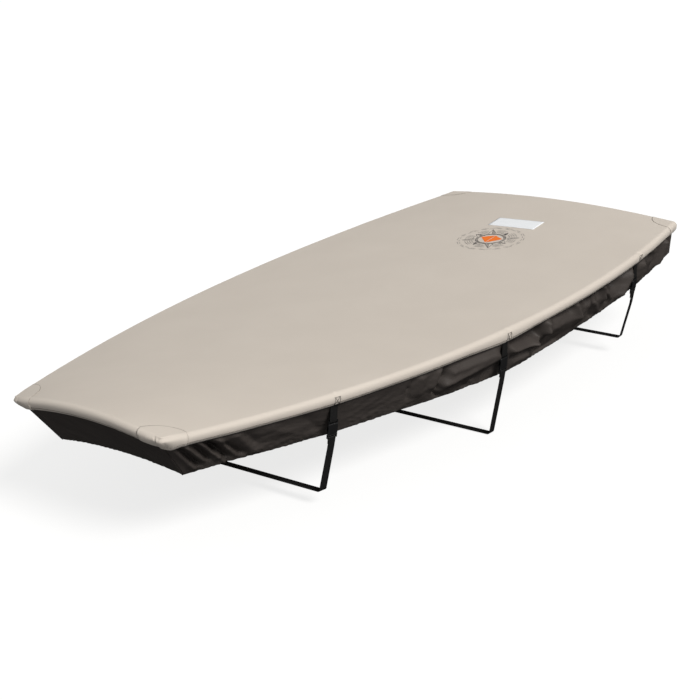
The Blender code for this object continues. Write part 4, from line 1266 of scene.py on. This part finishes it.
def arcPoints(radius, start, end, count):
    angles = [math.radians(degrees) for degrees in spread(start, end, count)]
    return [(radius * math.cos(angle), radius * math.sin(angle)) for angle in angles]


def ropeRing(radius, wide, strands):
    # two thin rings with slanting strands between them
    marks = [inkLine(arcPoints(radius, 0, 360, 72), ornament["line"])]
    marks.append(inkLine(arcPoints(radius + wide, 0, 360, 72), ornament["line"]))
    for k in range(strands):
        start = 2 * math.pi * k / strands
        strand = []
        for t in spread(0.0, 1.0, 4):
            angle, reach = start + 1.5 * 2 * math.pi / strands * smooth(t), radius + wide * t
            strand.append((reach * math.cos(angle), reach * math.sin(angle)))
        marks.append(inkLine(strand, ornament["line"] * 0.9))
    return marks


def rosePoint(degrees, tip, root, side, hatch):
    # one point of the rose: an outline with one half hatched
    angle = math.radians(degrees)
    along, across = (math.cos(angle), math.sin(angle)), (-math.sin(angle), math.cos(angle))

    def spot(a, b):
        return (along[0] * a + across[0] * b, along[1] * a + across[1] * b)

    marks = [inkLine([spot(root, -side), spot(tip, 0)], ornament["line"]),
             inkLine([spot(root, side), spot(tip, 0)], ornament["line"]),
             inkLine([spot(root, 0), spot(tip, 0)], ornament["line"] * 0.7)]
    for t in spread(0.06, 0.82, hatch):
        reach = mix(root, tip, t)
        marks.append(inkLine([spot(reach, 0), spot(reach, side * (1 - t))], ornament["line"] * 0.9))
    return marks


def buildOrnament():
    grey = ropeRing(*ornament["rope"])
    root, side, hatch = ornament["point"]
    for k in range(8):
        grey += rosePoint(k * 45 + 22.5, ornament["tips"][k % 2], root, side, hatch)
    # ripples fill the corners between the points
    for radius in ornament["ripples"]:
        for k in range(8):
            ripple = arcPoints(radius, k * 45 - 13.5, k * 45 + 13.5, 8)
            grey.append(inkLine(ripple, ornament["line"], 0.6))
    for radius, step in ornament["dashes"]:
        for k in range(round(360 / step)):
            dash = arcPoints(radius, k * step, k * step + step * 0.62, 6)
            grey.append(inkLine(dash, ornament["line"], 0.5))
    printPieces("print_grey_lines", grey, greyInk, ornament["lift"])
    printPieces("print_orange_kite", ornament["kite"], orangeInk, ornament["lift"] + 0.0001)


stage = {
    "floorHeight": -0.3855,
    "floorColour": shade(0.22, 0.22, 0.22),
    "floorGlow": shade(0.79, 0.79, 0.787),
    "skyLean": (-0.158, -0.105, 0.158),  # brightest above, from port and from ahead
    "skyLevel": 0.231,
    "sunTravels": (0.14, 0.73, -0.68),
    "sunStrength": 3.3,
    "sunAngle": 22,
    "sunColour": (1.0, 0.985, 0.96),
    "focalPixels": 1814.0,
    "cameraPlace": (-4.14676, -3.69685, 1.83559),
    "cameraAxes": (  # right, up and back
        (0.64598, -0.75932, -0.07831), (0.30767, 0.16511, 0.93705), (-0.69860, -0.62942, 0.34029)),
}


def buildStage():
    scene = bpy.context.scene
    bpy.ops.mesh.primitive_plane_add(size=60, location=(0, 0, stage["floorHeight"]))
    floor = bpy.context.active_object
    floor.name = "floor"
    finish = Finish("floorPaint")
    finish.set(Base_Color=stage["floorColour"], Roughness=0.85, Emission_Color=stage["floorGlow"])
    finish.set(Emission_Strength=1.0)
    floor.data.materials.append(finish.material)
    # the floor catches the shadow but throws no light back up
    floor.visible_diffuse = False
    floor.visible_glossy = False
    scene.world = bpy.data.worlds.new("studio")
    scene.world.use_nodes = True
    sky = Graph(scene.world.node_tree)
    lean = sky.add("ShaderNodeVectorMath", {"operation": "DOT_PRODUCT"}, {
        0: sky.add("ShaderNodeTexCoord", out="Generated"), 1: stage["skyLean"]}, out="Value")
    background = sky.tree.nodes["Background"].inputs
    sky.put(background["Strength"], (lean + stage["skyLevel"]).clamped())
    sky.put(background["Color"], shade(1.0, 1.0, 1.0))

    data = bpy.data.lights.new("keyFromPort", "SUN")
    data.energy = stage["sunStrength"]
    data.angle = math.radians(stage["sunAngle"])
    data.color = stage["sunColour"]
    key = bpy.data.objects.new("keyFromPort", data)
    scene.collection.objects.link(key)
    key.rotation_euler = Vector(stage["sunTravels"]).to_track_quat("-Z", "Y").to_euler()
    lens = bpy.data.cameras.new("camera")
    lens.sensor_width = 36.0
    lens.lens = stage["focalPixels"] * 36.0 / 700.0
    lens.clip_end = 200.0
    camera = bpy.data.objects.new("camera", lens)
    scene.collection.objects.link(camera)
    turn = Matrix(stage["cameraAxes"]).transposed().to_4x4()
    camera.matrix_world = Matrix.Translation(stage["cameraPlace"]) @ turn
    scene.camera = camera
    scene.view_settings.view_transform = "Standard"


buildStage()
print("stage ready")
buildTop()
for side, (riseAt, flatSize) in skirtPanels.items():
    buildSkirt(side, riseAt)
patchEdges = []
for end, lengthwise in (("bow", -1), ("stern", 1)):
    for side, sideways in (("port", -1), ("starboard", 1)):
        patchEdges.append(buildPatch(f"corner_patch_{end}_{side}", lengthwise, sideways))
print("corner patches ready")
buildStraps()
labelEdge = buildNamePatch()
buildOrnament()
boxes = [stroke for strap in straps for side in (-1, 1) for stroke in boxStitch(strap["x"], side)]
hems = [hemRow(side, riseAt) for side, (riseAt, _) in skirtPanels.items()]
# name, rows, thread, pitch, stitch length, thread radius, slot
for row in (
    ("stitches_seam", [seamRow(122, 0.0003)], brownThread, 0.0042, 0.0036, 0.00075, "canvas"),
    ("stitches_patches", patchEdges, brownThread, 0.0030, 0.0028, 0.00045, "canvas"),
    ("stitches_name_patch", [labelEdge], whiteThread, 0.0036, 0.0027, 0.00036, "name_patch"),
    ("stitches_strap_boxes", boxes, blackThread, 0.0034, 0.0028, 0.0008, "webbing"),
    ("stitches_hem", hems, skirtThread, 0.0044, 0.0031, 0.00034, "skirt_nylon"),
):
    sewRows(*row)
